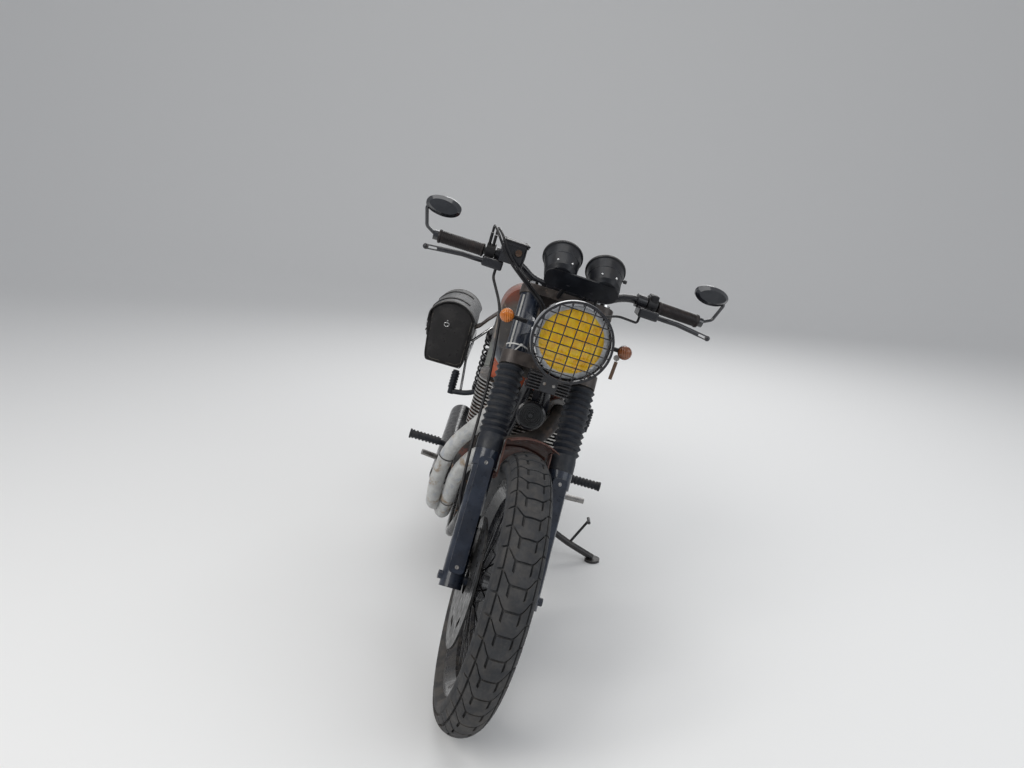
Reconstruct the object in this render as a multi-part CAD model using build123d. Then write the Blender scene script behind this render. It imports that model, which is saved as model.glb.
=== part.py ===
from build123d import *
import math
import os

os.makedirs("parts", exist_ok=True)

# A parallel-twin scrambler-style cafe racer, parked on its side stand.
# Millimetres and degrees. The machine is drawn upright first: +X is its left,
# -Y is forward, +Z is up, and the front tyre stands on the origin. At the end
# the front end is turned, and the whole machine leans over and settles.

# Stance
wheelbase = 1500.0
rake = 27.8
trail = 105.0
park_lean = 13.0
park_steer = 5.0

# Wheels: outer radius, crown radius of the section, bead radius, rim half width
front_radius = 331.0
front_crown = 52.0
front_bead = 241.0
front_rim_half = 37.0
rear_radius = 320.0
rear_crown = 66.0
rear_bead = 216.0
rear_rim_half = 50.0
tyre_wall = 9.0
rim_wall = 5.0
rim_lip = 12.0
spoke_count = 36
spoke_radius = 2.0
axle_radius = 10.0
axle_bore = 6.0
running_gap = 0.4

# Front end, levels are measured up the fork from the axle
leg_half = 93.0
fork_tube_radius = 20.5
slider_radius = 27.0
slider_top = 310.0
gaiter_radius = 36.0
gaiter_top = 530.0
gaiter_folds = 11
lower_yoke_level = 548.0
lower_yoke_thick = 34.0
upper_yoke_level = 735.0
upper_yoke_thick = 24.0
lower_ear = 33.0
upper_ear = 31.0
shroud_radius = 27.0
stem_radius = 14.0
head_tube_radius = 29.0
front_disc_radius = 155.0
front_disc_x = -58.0
front_hub_half = 34.0
disc_thick = 5.0
cable_radius = 3.2
hose_radius = 3.6

# Headlamp: its rim faces forward
lamp_y = 82.0
lamp_z = 932.0
lamp_rim_radius = 95.5
lamp_bowl_radius = 88.0
lamp_depth = 118.0
rim_clear = 0.8
grille_wire = 1.3
grille_ring = 2.6
grille_gap = 9.0
grille_across = 27.0
grille_up = 21.5

# Handlebar
bar_radius = 11.0
bar_end_x = 362.0
bar_knee_x = 156.0
bar_end_y = 415.0
bar_end_z = 1036.0
grip_radius = 16.5
grip_length = 122.0

# Engine
barrel_front = 480.0
barrel_back = 690.0
barrel_half = 160.0
barrel_bottom = 545.0
fin_pitch = 10.0
fin_thick = 4.0
barrel_fins = 10
head_fins = 5
cam_cover_half = 132.0
port_x = 80.0
port_z = 672.0
case_half = 165.0

# Exhaust
header_radius = 21.5
silencer_radius = 44.0

# Tank, seat and bag
tank_half = 158.0
tunnel_half = 42.0
seat_half = 125.0
seat_front = 838.0
seat_back = 1335.0
bag_front = 1130.0
bag_back = 1480.0
bag_wall = 5.0
lid_wall = 4.0
lid_gap = 0.5
soft_gap = 0.3

# Rear end
swing_pivot_y = 1000.0
swing_pivot_z = 400.0
arm_x = 104.0
pivot_radius = 9.0
shock_x = 150.0
shock_top = (1190.0, 722.0)
shock_bottom = (1440.0, 392.0)
chain_x = 84.0
front_sprocket_y = 893.0
front_sprocket_radius = 40.0
rear_sprocket_radius = 102.0
chain_depth = 13.0
chain_width = 15.0
rear_disc_radius = 127.0
spring_radius = 26.0
spring_wire = 4.5
spring_coils = 9
rear_disc_x = -80.0

# Side stand
stand_pivot = (153.0, 895.0, 184.0)
stand_turn = (0.339, 0.077, 0.932)
stand_bolt = 6.0
stand_gap = 0.3
eye_half = 7.0
stand_foot = (398.0, 868.0)
stand_tube = 11.0
stand_foot_radius = 26.0
stand_foot_thick = 9.0

sin_rake = math.sin(math.radians(rake))
cos_rake = math.cos(math.radians(rake))
fork_offset = front_radius * sin_rake - trail * cos_rake
axis_base = Vector(0, fork_offset * cos_rake, front_radius - fork_offset * sin_rake)
steer_axis = Axis(axis_base, (0, sin_rake, cos_rake))
# In this plane X is sideways, Y is back from the steering axis and Z is up along it
steer_frame = Plane(origin=axis_base, x_dir=(1, 0, 0), z_dir=(0, sin_rake, cos_rake)).location

lifted = (Align.CENTER, Align.CENTER, Align.MIN)
stand_place = Plane(origin=stand_pivot, x_dir=(1, 0, 0), z_dir=stand_turn).location

bodies = {}


def keep(name, body, shape):
    bodies[name] = (body, shape)


def joined(pieces):
    # One shape from a list of pieces that touch or overlap
    whole = pieces[0]
    for piece in pieces[1:]:
        whole = whole + piece
    return whole


def both_sides(shape):
    return [shape, mirror(shape, about=Plane.YZ)]


def rod(start, end, radius):
    # A straight round bar between two points
    start, end = Vector(*start), Vector(*end)
    way = end - start
    place = Plane(origin=start, z_dir=way).location
    return place * Cylinder(radius, way.length, align=(Align.CENTER, Align.CENTER, Align.MIN))


def bent_tube(points, radii, radius, hole=0.0):
    # A round tube along straight runs joined by arcs
    path = FilletPolyline(*points, radius=radii)
    start = Plane(origin=path @ 0, z_dir=path % 0)
    section = start * Circle(radius)
    if hole:
        section = section - start * Circle(hole)
    return sweep(section, path=path)


def smooth_tube(points, radius):
    # Straight runs joined by arcs as large as the runs allow
    corners = [Vector(*point) for point in points]
    radii = []
    for before, here, after in zip(corners, corners[1:], corners[2:]):
        turn = (here - before).get_angle(after - here)
        shorter = min((here - before).length, (after - here).length)
        radii.append(0.45 * shorter / math.tan(math.radians(turn / 2)))
    path = FilletPolyline(*points, radius=radii)
    return sweep(Plane(origin=path @ 0, z_dir=path % 0) * Circle(radius), path=path)


def across(shape, x=0.0, y=0.0, z=0.0):
    # Turns a shape drawn round Z so that its axis lies along X
    return Pos(x, y, z) * Rot(Y=90) * shape


def turned(points):
    # A solid turned about Z from (radius, height) points
    return revolve(make_face(Polyline(*[(r, 0, h) for r, h in points], close=True)), Axis.Z)


def plate(outline, x, thick):
    # A flat plate in the side view: its outline is (y, z), its middle at x
    face = make_face(Polyline(*[(x - thick / 2, y, z) for y, z in outline], close=True))
    return extrude(face, amount=thick, dir=(1, 0, 0))


# Wheels

def tyre(radius, crown, bead, half):
    # The crown is a half circle of the section, the walls run in to the beads
    core = radius - crown
    heel = bead + rim_lip + 1
    seat_x = half - rim_wall - 0.2
    outside = [
        ThreePointArc((core, 0, -crown), (radius, 0, 0), (core, 0, crown)),
        Line((core, 0, crown), (heel, 0, seat_x)),
        Line((heel, 0, seat_x), (bead, 0, seat_x)),
        Line((bead, 0, seat_x), (bead, 0, seat_x - tyre_wall)),
        Line((bead, 0, seat_x - tyre_wall), (core, 0, crown - tyre_wall)),
        ThreePointArc((core, 0, crown - tyre_wall), (radius - tyre_wall, 0, 0), (core, 0, tyre_wall - crown)),
        Line((core, 0, tyre_wall - crown), (bead, 0, tyre_wall - seat_x)),
        Line((bead, 0, tyre_wall - seat_x), (bead, 0, -seat_x)),
        Line((bead, 0, -seat_x), (heel, 0, -seat_x)),
        Line((heel, 0, -seat_x), (core, 0, -crown)),
    ]
    return across(revolve(make_face(outside), Axis.Z))


def spoked_wheel(bead, half, hub_radius, hub_half):
    # Rim channel, hub with two flanges, and crossed spokes between them
    lip = bead + rim_lip
    well = bead - 18
    rim = turned([
        (lip, half), (bead - rim_wall, half), (well - rim_wall, half * 0.45), (well - rim_wall, -half * 0.45),
        (bead - rim_wall, -half), (lip, -half), (lip, rim_wall - half), (bead - 0.4, rim_wall - half),
        (well, rim_wall - half * 0.55), (well, half * 0.55 - rim_wall), (bead - 0.4, half - rim_wall),
        (lip, half - rim_wall)])
    flange = hub_radius + 14
    bore = axle_radius + running_gap
    hub = turned([
        (bore, -hub_half - 12), (22, -hub_half - 12), (hub_radius * 0.8, -hub_half - 3), (flange, -hub_half - 3),
        (flange, -hub_half + 3), (hub_radius, -hub_half + 8), (hub_radius * 0.8, 0), (hub_radius, hub_half - 8),
        (flange, hub_half - 3), (flange, hub_half + 3), (hub_radius * 0.8, hub_half + 3), (22, hub_half + 12),
        (bore, hub_half + 12)])
    step = 360.0 / spoke_count
    spokes = []
    for index in range(spoke_count):
        side = 1 if index % 2 else -1
        sweep_angle = (4.5 if index % 4 < 2 else -4.5) * step / 2
        outer = math.radians(index * step)
        inner = math.radians(index * step + sweep_angle)
        foot = (math.cos(inner) * (flange - 6), math.sin(inner) * (flange - 6), side * hub_half)
        tip = (math.cos(outer) * (well - 2), math.sin(outer) * (well - 2), side * 7)
        spokes.append(rod(foot, tip, spoke_radius))
    return across(hub.fuse(rim, *spokes))


def brake_disc(radius, ring, carrier, x):
    # A ring on a carrier that bolts to the hub, with its face pierced all round
    face = Circle(radius) - Circle(carrier)
    for index in range(6):
        face -= Rot(Z=index * 60) * Pos((radius + ring) / 2 - 26, 0) * SlotCenterToCenter(26, 14, rotation=90)
    return across(extrude(face, amount=disc_thick / 2, both=True), x)


def disc_bell(radius, wall, start, x):
    # Short tube between the end of the hub and the disc
    reach = abs(x) - start
    return across(Cylinder(radius, reach) - Cylinder(radius - wall, reach), math.copysign(start + reach / 2, x))


front_y = 0.0
rear_y = wheelbase
keep("front_tyre", "front_wheel", Pos(0, front_y, front_radius) * tyre(
    front_radius, front_crown, front_bead, front_rim_half))
keep("front_rim", "front_wheel", Pos(0, front_y, front_radius) * spoked_wheel(
    front_bead, front_rim_half, 36, front_hub_half))
keep("front_disc", "front_wheel", Pos(0, front_y, front_radius) * (
    brake_disc(front_disc_radius, 115, 30, front_disc_x) + disc_bell(38, 8, front_hub_half + 3.3, front_disc_x)))
keep("rear_tyre", "rear_wheel", Pos(0, rear_y, rear_radius) * tyre(
    rear_radius, rear_crown, rear_bead, rear_rim_half))
keep("rear_rim", "rear_wheel", Pos(0, rear_y, rear_radius) * spoked_wheel(
    rear_bead, rear_rim_half, 46, 40))


def rear_drive():
    # The rear disc on the right and the toothed sprocket on the left
    disc = brake_disc(rear_disc_radius, 90, 26, rear_disc_x)
    teeth = 43
    face = Circle(rear_sprocket_radius - 5) - Circle(24)
    for index in range(5):
        face -= Rot(Z=index * 72) * Pos(70, 0) * Circle(15)
    root = rear_sprocket_radius - 6
    tooth_half = math.pi * root / teeth * 0.45
    tooth = make_face(Polyline((root, -tooth_half), (rear_sprocket_radius, -1.5),
                               (rear_sprocket_radius, 1.5), (root, tooth_half), close=True))
    face += [Rot(Z=index * 360.0 / teeth) * tooth for index in range(teeth)]
    sprocket = across(extrude(face, amount=3.5, both=True), chain_x)
    hub_end = 40 + 12.2
    left_length = chain_x - hub_end
    right_length = -rear_disc_x - hub_end
    left_sleeve = across(Cylinder(29, left_length) - Cylinder(axle_radius + running_gap, left_length),
                         hub_end + left_length / 2)
    right_sleeve = across(Cylinder(31, right_length) - Cylinder(axle_radius + running_gap, right_length),
                          -hub_end - right_length / 2)
    return [disc + right_sleeve, sprocket + left_sleeve]


keep("rear_drive", "rear_wheel", Pos(0, rear_y, rear_radius) * Compound(children=rear_drive()))


# Front end, drawn in the steering frame: the legs stand at local y = -fork_offset

def leg(shape, side):
    return steer_frame * (Pos(side * leg_half, -fork_offset, 0) * shape)


def rising(radius, low, high):
    return Pos(0, 0, low) * Cylinder(radius, high - low, align=(Align.CENTER, Align.CENTER, Align.MIN))


def fork_sliders():
    # Lower legs with a flat guard strip in front, bored for the fork tubes, and the axle
    sides = []
    for side in (-1, 1):
        body = rising(slider_radius, -24, slider_top - 40) + rising(slider_radius + 4, slider_top - 40, slider_top)
        guard = Pos(0, -slider_radius - 2, 150) * Box(36, 8, 280)
        body = body + fillet(guard.edges().filter_by(Axis.Y), 10)
        body = body - rising(fork_tube_radius, 120, slider_top)
        sides.append(leg(body, side))
    axle = Pos(0, 0, front_radius) * Rot(Y=90) * Cylinder(axle_radius, 2 * leg_half + 2 * slider_radius + 16)
    whole = sides[0] + axle + sides[1]
    bore = Pos(0, 0, front_radius) * Rot(Y=90) * Cylinder(axle_bore, 2 * leg_half + 2 * slider_radius + 20)
    return whole - bore


def gaiter():
    # Rubber bellows with deep folds, on a collar at the slider
    low = slider_top + 0.3
    start = slider_top + 42
    pitch = (gaiter_top - start) / gaiter_folds
    inner = fork_tube_radius + 0.3
    points = [(inner, low), (gaiter_radius - 4, low), (gaiter_radius - 4, low + 26), (gaiter_radius - 6, start)]
    for index in range(gaiter_folds):
        level = start + index * pitch
        points.append((gaiter_radius, level + pitch * 0.5))
        points.append((gaiter_radius - 6.5, level + pitch))
    points.append((inner, gaiter_top))
    return turned(points)


def yokes():
    # Lower and upper yokes with the steering stem between them, bored for the fork tubes
    parts = []
    for level, thick, ear in ((lower_yoke_level, lower_yoke_thick, lower_ear), (upper_yoke_level, upper_yoke_thick, upper_ear)):
        ring = [Pos(side * leg_half, -fork_offset) * Circle(ear) for side in (-1, 1)] + [Circle(30)]
        face = make_hull(Sketch(children=ring).edges())
        for side in (-1, 1):
            face -= Pos(side * leg_half, -fork_offset) * Circle(fork_tube_radius)
        parts.append(Pos(0, 0, level - thick / 2) * extrude(face, amount=thick))
    stem = rising(stem_radius, lower_yoke_level - 30, upper_yoke_level + 26)
    nut = rising(20, upper_yoke_level + upper_yoke_thick / 2, upper_yoke_level + upper_yoke_thick / 2 + 12)
    risers = []
    for side in (-1, 1):
        foot = Vector(side * 45, -8, upper_yoke_level)
        risers.append(Pos(*foot) * Cylinder(13, bar_level - upper_yoke_level - bar_radius,
                                            align=(Align.CENTER, Align.CENTER, Align.MIN)))
    whole = parts[0] + stem + parts[1] + nut + risers
    for side in (-1, 1):
        whole -= Pos(side * 45, -8, bar_level) * Rot(Y=90) * Cylinder(bar_radius + 8, 30)
    return steer_frame * whole


bar_level = 788.0
bar_mid = steer_frame * Pos(0, -8, bar_level)
bar_mid_y = bar_mid.position.Y
bar_mid_z = bar_mid.position.Z
bar_tip = Vector(bar_end_x, bar_end_y, bar_end_z)
bar_knee = Vector(bar_knee_x, bar_mid_y - 12, bar_end_z + 5)
bar_way = (bar_tip - bar_knee).normalized()

keep("fork_sliders", "steering", fork_sliders())
keep("fork_tubes", "steering", Compound(children=[
    leg(rising(fork_tube_radius - 0.02, 120.5, upper_yoke_level + 22), side) for side in (-1, 1)]))
keep("fork_gaiters", "steering", Compound(children=[leg(gaiter(), side) for side in (-1, 1)]))
keep("yokes", "steering", yokes())


def shroud():
    # Tube round the upper fork between the yokes, with the ear that carries the lamp
    low = lower_yoke_level + lower_yoke_thick / 2
    high = upper_yoke_level - upper_yoke_thick / 2
    return rising(shroud_radius, low, high) - rising(fork_tube_radius, low, high)


def lamp_ears():
    ears = []
    lamp_side = lamp_bowl_radius + 3.0
    for side in (-1, 1):
        ear_outline = [(lamp_y + 28, lamp_z - 14), (lamp_y + 50, lamp_z - 20), (300, 872), (330, 900), (318, 935),
                       (lamp_y + 52, lamp_z + 18), (lamp_y + 28, lamp_z + 14)]
        arm = plate(ear_outline, side * (lamp_side + 3), 5)
        ears.append(leg(shroud(), side) + (arm - leg(rising(fork_tube_radius, 400, 900), side)))
    return ears


lamp_place = Plane(origin=(0, lamp_y, lamp_z), x_dir=(1, 0, 0), z_dir=(0, -1, 0)).location


def dome(edge, middle, rim):
    # Arc from the rim's edge to the middle of a dish whose centre lies on the axis
    rise = middle - rim
    radius = (edge ** 2 + rise ** 2) / (2 * abs(rise))
    half = edge / 2
    level = middle - math.copysign(radius - math.sqrt(radius ** 2 - half ** 2), rise)
    return ThreePointArc((0, 0, middle), (half, 0, level), (edge, 0, rim))


def lamp_bowl():
    # A deep bowl with the reflector hollow behind the lens
    outer = lamp_bowl_radius
    outside = [
        Line((0, 0, -lamp_depth), (26, 0, -lamp_depth)),
        ThreePointArc((26, 0, -lamp_depth), (outer * 0.8, 0, -lamp_depth * 0.66), (outer, 0, -10)),
        Line((outer, 0, -10), (outer - 4, 0, -10)),
        dome(outer - 4, -lamp_depth * 0.58, -10),
        Line((0, 0, -lamp_depth * 0.58), (0, 0, -lamp_depth)),
    ]
    bowl = revolve(make_face(outside), Axis.Z)
    lugs = []
    for side in (-1, 1):
        lugs.append(Pos(side * (outer - 2), 0, -39) * Rot(Y=90) * Cylinder(9, 9.5))
    return lamp_place * (bowl + lugs)


def lamp_rim():
    return lamp_place * turned([
        (lamp_bowl_radius + rim_clear, -16), (lamp_rim_radius - 3, -16), (lamp_rim_radius, -10), (lamp_rim_radius, 0),
        (lamp_rim_radius - 5, 6), (lamp_rim_radius - 11, 7), (lamp_rim_radius - 11, 2), (lamp_bowl_radius + rim_clear, 1)])


def lamp_lens():
    edge = lamp_bowl_radius + rim_clear - 0.3
    seat_edge = lamp_bowl_radius - 3
    face = make_face([
        dome(edge, 8, -4),
        Line((edge, 0, -4), (edge, 0, -10)),
        Line((edge, 0, -10), (seat_edge, 0, -10)),
        dome(seat_edge, 4, -10),
        Line((0, 0, 4), (0, 0, 8))])
    return lamp_place * revolve(face, Axis.Z)


def lamp_grille():
    # Square wire mesh in a round wire frame, on two clips at the rim
    level = 7 + grille_gap
    ring = lamp_rim_radius - 2.5
    whole = turned([(ring - grille_ring, level - grille_ring), (ring + grille_ring, level - grille_ring),
                    (ring + grille_ring, level + grille_ring), (ring - grille_ring, level + grille_ring)])
    wire = 2 * grille_wire
    wires = []
    for index in range(-3, 4):
        place = index * grille_across
        reach = math.sqrt(ring ** 2 - place ** 2)
        wires.append(Pos(place, 0, level + grille_wire / 2) * Box(wire, 2 * reach, wire))
    for index in range(-4, 4):
        place = (index + 0.5) * grille_up
        reach = math.sqrt(ring ** 2 - place ** 2)
        wires.append(Pos(0, place, level - grille_wire / 2) * Box(2 * reach, wire, wire))
    foot = lamp_rim_radius - 10.8
    for angle in (45, 135, 225, 315):
        clip = Pos(foot + 5.4, 0, (level + 7.1) / 2) * Box(2.4, 10, level - 7.1)
        wires.append(Rot(Z=angle) * clip)
    return lamp_place * joined([whole] + wires)


keep("lamp_ears", "steering", Compound(children=lamp_ears()))
keep("headlamp_bowl", "steering", lamp_bowl())
keep("headlamp_rim", "steering", lamp_rim())
keep("headlamp_lens", "steering", lamp_lens())
keep("headlamp_grille", "steering", lamp_grille())


# Gauges, handlebar and controls, still with the bars straight

gauge_side = 56.0
gauge_y = 285.0
gauge_z = 1095.0
gauge_tilt = 57.0
gauge_radius = 50.0
gauge_depth = 84.0


def gauge_cup():
    # A tapered cup with a rolled rim round the glass
    r = gauge_radius
    return turned([(0, -gauge_depth), (r * 0.62, -gauge_depth), (r * 0.78, -gauge_depth + 8), (r * 0.84, -38),
                   (r * 0.86, -37), (r * 0.94, -9), (r, -8), (r, -2), (r - 3, 0), (r - 6, -4), (0, -4)])


def gauges():
    cups = []
    for side in (-1, 1):
        cups.append(Pos(side * gauge_side, gauge_y, gauge_z) * Rot(X=-gauge_tilt) * gauge_cup())
    tilt = math.radians(gauge_tilt)
    foot_y = gauge_y - gauge_depth * math.sin(tilt)
    foot_z = gauge_z - gauge_depth * math.cos(tilt)
    shelf = Pos(0, foot_y + 4, foot_z - 2) * Rot(X=-gauge_tilt) * extrude(
        RectangleRounded(4 * gauge_side - 40, 52, 20), amount=-5)
    stays = []
    for side in (-1, 1):
        foot = steer_frame * Pos(side * 30, -fork_offset + 6, upper_yoke_level)
        stays.append(rod((side * 30, foot_y + 6, foot_z - 8), tuple(foot.position), 6))
    top = upper_yoke_level + upper_yoke_thick / 2
    cutter = steer_frame * (Pos(0, 200 - fork_offset - upper_ear, top - 100) * Box(400, 400, 200))
    return [cup for cup in cups] + [shelf + stays[0] - cutter + (stays[1] - cutter)]


def gauge_set():
    pieces = gauges()
    whole = pieces[2]
    return whole.fuse(pieces[0], pieces[1])


def handlebar():
    # A low bar that rises a little from the clamps and sweeps back to the grips
    half = [tuple(bar_tip), tuple(bar_knee), (98, bar_mid_y - 4, bar_mid_z + 4), (62, bar_mid_y, bar_mid_z)]
    points = half + [(-x, y, z) for x, y, z in reversed(half)]
    bar = smooth_tube(points, bar_radius)
    caps = []
    for side in (-1, 1):
        caps.append(steer_frame * Pos(side * 45, -8, bar_level) * Rot(Y=90) * Cylinder(bar_radius + 8, 24))
    return bar.fuse(*caps)


def on_bar(inboard):
    # A plane square to the right-hand grip end of the bar, Z pointing out, so far in from its tip
    spot = bar_tip - bar_way * inboard
    spot = Vector(-spot.X, spot.Y, spot.Z)
    way = Vector(-bar_way.X, bar_way.Y, bar_way.Z)
    return Plane(origin=spot, x_dir=(0, 1, 0), z_dir=way).location


def sleeve(radius, inboard, length):
    shape = on_bar(inboard) * Cylinder(radius, length, align=(Align.CENTER, Align.CENTER, Align.MIN))
    hole = on_bar(inboard + 5) * Cylinder(bar_radius + 0.05, length + 10, align=(Align.CENTER, Align.CENTER, Align.MIN))
    return shape - hole


def grip():
    return (sleeve(grip_radius, grip_length, grip_length - 3)
            + sleeve(grip_radius + 4, grip_length, 5))


def box_at(low, high, rounding=0.0):
    (x0, y0, z0), (x1, y1, z1) = low, high
    block = Pos((x0 + x1) / 2, (y0 + y1) / 2, (z0 + z1) / 2) * Box(abs(x1 - x0), abs(y1 - y0), abs(z1 - z0))
    return fillet(block.edges(), rounding) if rounding else block


def lever_blade(side):
    # A cast blade that reaches out ahead of the grip, slotted near its round tip
    path = [(side * 222, 352, 1018), (side * 262, 342, 1018), (side * 292, 344, 1018), (side * 385, 352, 1007)]
    blade = bent_tube(path, [30, 60], 6.5)
    tip = Vector(*path[-1])
    slot = Pos(tip.X - side * 17, tip.Y, tip.Z + 2) * Rot(Y=side * 7) * Rot(X=90) * extrude(
        SlotOverall(24, 6), amount=12, both=True)
    knob = Pos(*tip) * Sphere(7.5)
    return (blade + knob) - slot


def brake_lever():
    # Master cylinder with its square reservoir, and the lever
    perch = sleeve(18, 179, 26)
    neck = box_at((-240, 340, 1006), (-186, 378, 1030), 5) + box_at((-211, 370, 1008), (-188, 400, 1030))
    cup = Pos(-170, 366, 1055) * extrude(RectangleRounded(66, 56, 8), amount=24, both=True, taper=3)
    cap = Pos(-170, 366, 1078.5) * extrude(RectangleRounded(70, 60, 9), amount=6)
    whole = (neck + cup + cap) - sleeve_core()
    return whole.fuse(perch, lever_blade(-1))


def clutch_lever():
    perch = mirror(sleeve(18, 179, 26), about=Plane.YZ)
    neck = box_at((186, 340, 1006), (240, 378, 1030), 5) + box_at((188, 370, 1008), (211, 400, 1030))
    return (neck - mirror(sleeve_core(), about=Plane.YZ)).fuse(perch, lever_blade(1))


def switchgear():
    # Throttle housing on the right with its cable elbows, switch block on the left
    housing = sleeve(24, 150, 24)
    elbows = [rod((-232, 396, 1050), (-234, 386, 1090), 4), rod((-221, 396, 1050), (-223, 386, 1086), 4)]
    block = mirror(sleeve(23, 150, 26), about=Plane.YZ)
    pod = box_at((216, 386, 1040), (238, 426, 1068), 5) - mirror(sleeve_core(), about=Plane.YZ)
    return [housing.fuse(*[elbow - sleeve_core() for elbow in elbows]), block + pod]


def sleeve_core():
    return on_bar(300) * Cylinder(bar_radius + 0.05, 320, align=(Align.CENTER, Align.CENTER, Align.MIN))


def bar_mirror():
    # Oval mirror on a bent stem that screws into the end of the bar, on the right
    tip = on_bar(-8).position
    stem_points = [tuple(tip), (-399, 412, 1052), (-413, 406, 1100), (-400, 403, 1108)]
    stem = bent_tube(stem_points, [14, 8], 4.5)
    collar = on_bar(-0.3) * Cylinder(13, 14, align=(Align.CENTER, Align.CENTER, Align.MIN))
    face = Plane(origin=(-372, 412, 1112), x_dir=(1, 0, -0.06), z_dir=(0, -1, 0)).location
    shell = face * extrude(Ellipse(46, 25), amount=9) + face * Pos(0, 0, 9) * extrude(Ellipse(46, 25), amount=11, taper=38)
    return stem.fuse(collar, shell)


def front_indicator():
    # Round amber lamp in a bullet body, on a stalk from the fork ear, on the right
    spot = Plane(origin=(-150, 190, 929), x_dir=(1, 0, 0), z_dir=(0, -1, 0)).location
    body = spot * turned([(0, -22), (9, -20), (16, -6), (17, 6), (14, 12), (8, 15), (0, 16)])
    stalk = rod((-150, 196, 929), (-98.3, 205, 926), 5.5)
    return body + stalk


def regulator():
    # Finned voltage regulator hung in front of the lower yoke
    body = box_at((-54, 186, 775), (54, 206, 822), 3)
    fins = []
    for index in range(6):
        level = 779 + index * 7.6
        fins.append(box_at((-53, 172, level), (-20, 187, level + 2.6)))
        fins.append(box_at((20, 172, level), (53, 187, level + 2.6)))
    face = box_at((-22, 176, 777), (22, 187, 820), 2)
    bracket = box_at((-14, 205, 790), (14, 236, 812)) - yokes()
    return body.fuse(face, bracket, *fins)


def caliper():
    # Two-piston caliper that straddles the disc behind the right leg
    body = Pos(front_disc_x - 2, 132, front_radius + 24) * Rot(X=12) * Box(46, 74, 84)
    body = fillet(body.edges(), 7)
    slot = Pos(front_disc_x, front_y, front_radius) * Rot(Y=90) * Cylinder(front_disc_radius + 5, disc_thick + 3)
    lug = plate([(4, 300), (60, 318), (104, 320), (104, 380), (50, 376), (24, 352)], -76, 10)
    lug = lug - leg(rising(slider_radius, -30, 320), -1)
    return (body - slot) + (lug - slot)


def front_fender():
    # Short chopped guard over the tyre, its stays reach out to the fork legs
    outer = front_radius + 33
    half = 59.9
    face = make_face([
        ThreePointArc((outer - 16, 0, -half), (outer, 0, 0), (outer - 16, 0, half)),
        Line((outer - 16, 0, half), (outer - 18, 0, half)),
        ThreePointArc((outer - 18, 0, half), (outer - 2.5, 0, 0), (outer - 18, 0, -half)),
        Line((outer - 18, 0, -half), (outer - 16, 0, -half))])
    arc = revolve(face, Axis.Z, 56)
    shell = Pos(0, 0, front_radius) * across(Rot(Z=fender_start) * arc)
    stays = []
    for side in (-1, 1):
        plate_in = Pos(side * 58.5, -fork_offset, 300) * Box(3, 34, 94)
        boss = Pos(side * 63, -fork_offset, 258) * Rot(Y=90) * Cylinder(9, 8)
        stays.append(steer_frame * (plate_in + boss) - leg(rising(slider_radius + 0.3, 200, 400), side))
    hoop_face = make_face([
        ThreePointArc((outer - 18, 0, -half), (outer - 2, 0, 0), (outer - 18, 0, half)),
        Line((outer - 18, 0, half), (outer - 22, 0, half)),
        ThreePointArc((outer - 22, 0, half), (outer - 6, 0, 0), (outer - 22, 0, -half)),
        Line((outer - 22, 0, -half), (outer - 18, 0, -half))])
    hoop = Pos(0, 0, front_radius) * across(Rot(Z=fender_start + 22) * revolve(hoop_face, Axis.Z, 6))
    return shell, [hoop] + stays


fender_start = 114.0


def yoke_spot(side, level):
    # Point over the front edge of the lower yoke
    return tuple((steer_frame * Pos(side, -38, level)).position)


def control_cables():
    # Two throttle cables, the clutch cable, the front brake hose and the speedometer drive
    yoke_top = lower_yoke_level + lower_yoke_thick / 2 + 0.3
    pieces = []
    for shift in (0.0, 11.0):
        pieces.append(smooth_tube([(shift - 234.1, 385.6, 1091.6 - shift / 3), (shift - 235, 381, 1110 - shift / 3),
                                   (shift - 226, 330, 1102), (shift - 182, 314, 1044), (shift - 118, 300, 1000),
                                   (shift - 60, 290, 960), yoke_spot(shift - 46, yoke_top + 60),
                                   yoke_spot(shift - 46, yoke_top)], cable_radius))
    pieces.append(smooth_tube([(194, 352, 1005.5), (194, 352, 988), (120, 304, 996), (62, 290, 960),
                               yoke_spot(48, yoke_top + 60), yoke_spot(48, yoke_top)], cable_radius))
    pieces.append(smooth_tube([(-200, 352, 1005.5), (-200, 352, 986), (-158, 290, 920), (-137, 225, 756),
                               (-136, 144, 600), (-128, 92, 492), (-106, 102, 438), (-70, 130, 404)], hose_radius))
    pieces.append(smooth_tube([(56, 262, 1020), (59, 285, 975), yoke_spot(59, yoke_top + 60),
                               yoke_spot(59, yoke_top)], 4.0))
    return pieces


keep("gauges", "steering", gauge_set())
keep("handlebar", "steering", handlebar())
keep("grips", "steering", Compound(children=both_sides(grip())))
keep("brake_lever", "steering", brake_lever())
keep("clutch_lever", "steering", clutch_lever())
keep("switchgear", "steering", Compound(children=switchgear()))
keep("bar_mirrors", "steering", Compound(children=both_sides(bar_mirror())))
keep("front_indicators", "steering", Compound(children=both_sides(front_indicator())))
keep("regulator", "steering", regulator())
keep("brake_caliper", "steering", caliper())
guard, guard_stays = front_fender()
keep("front_fender", "steering", joined([guard] + guard_stays))
keep("control_cables", "steering", Compound(children=control_cables()))


# Frame

head_low = lower_yoke_level + lower_yoke_thick / 2 + 3
head_high = upper_yoke_level - upper_yoke_thick / 2 - 3
swing_pivot = (0, swing_pivot_y, swing_pivot_z)


def axis_point(level, side=0.0, back=0.0):
    return tuple((steer_frame * Pos(side, back, level)).position)


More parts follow.
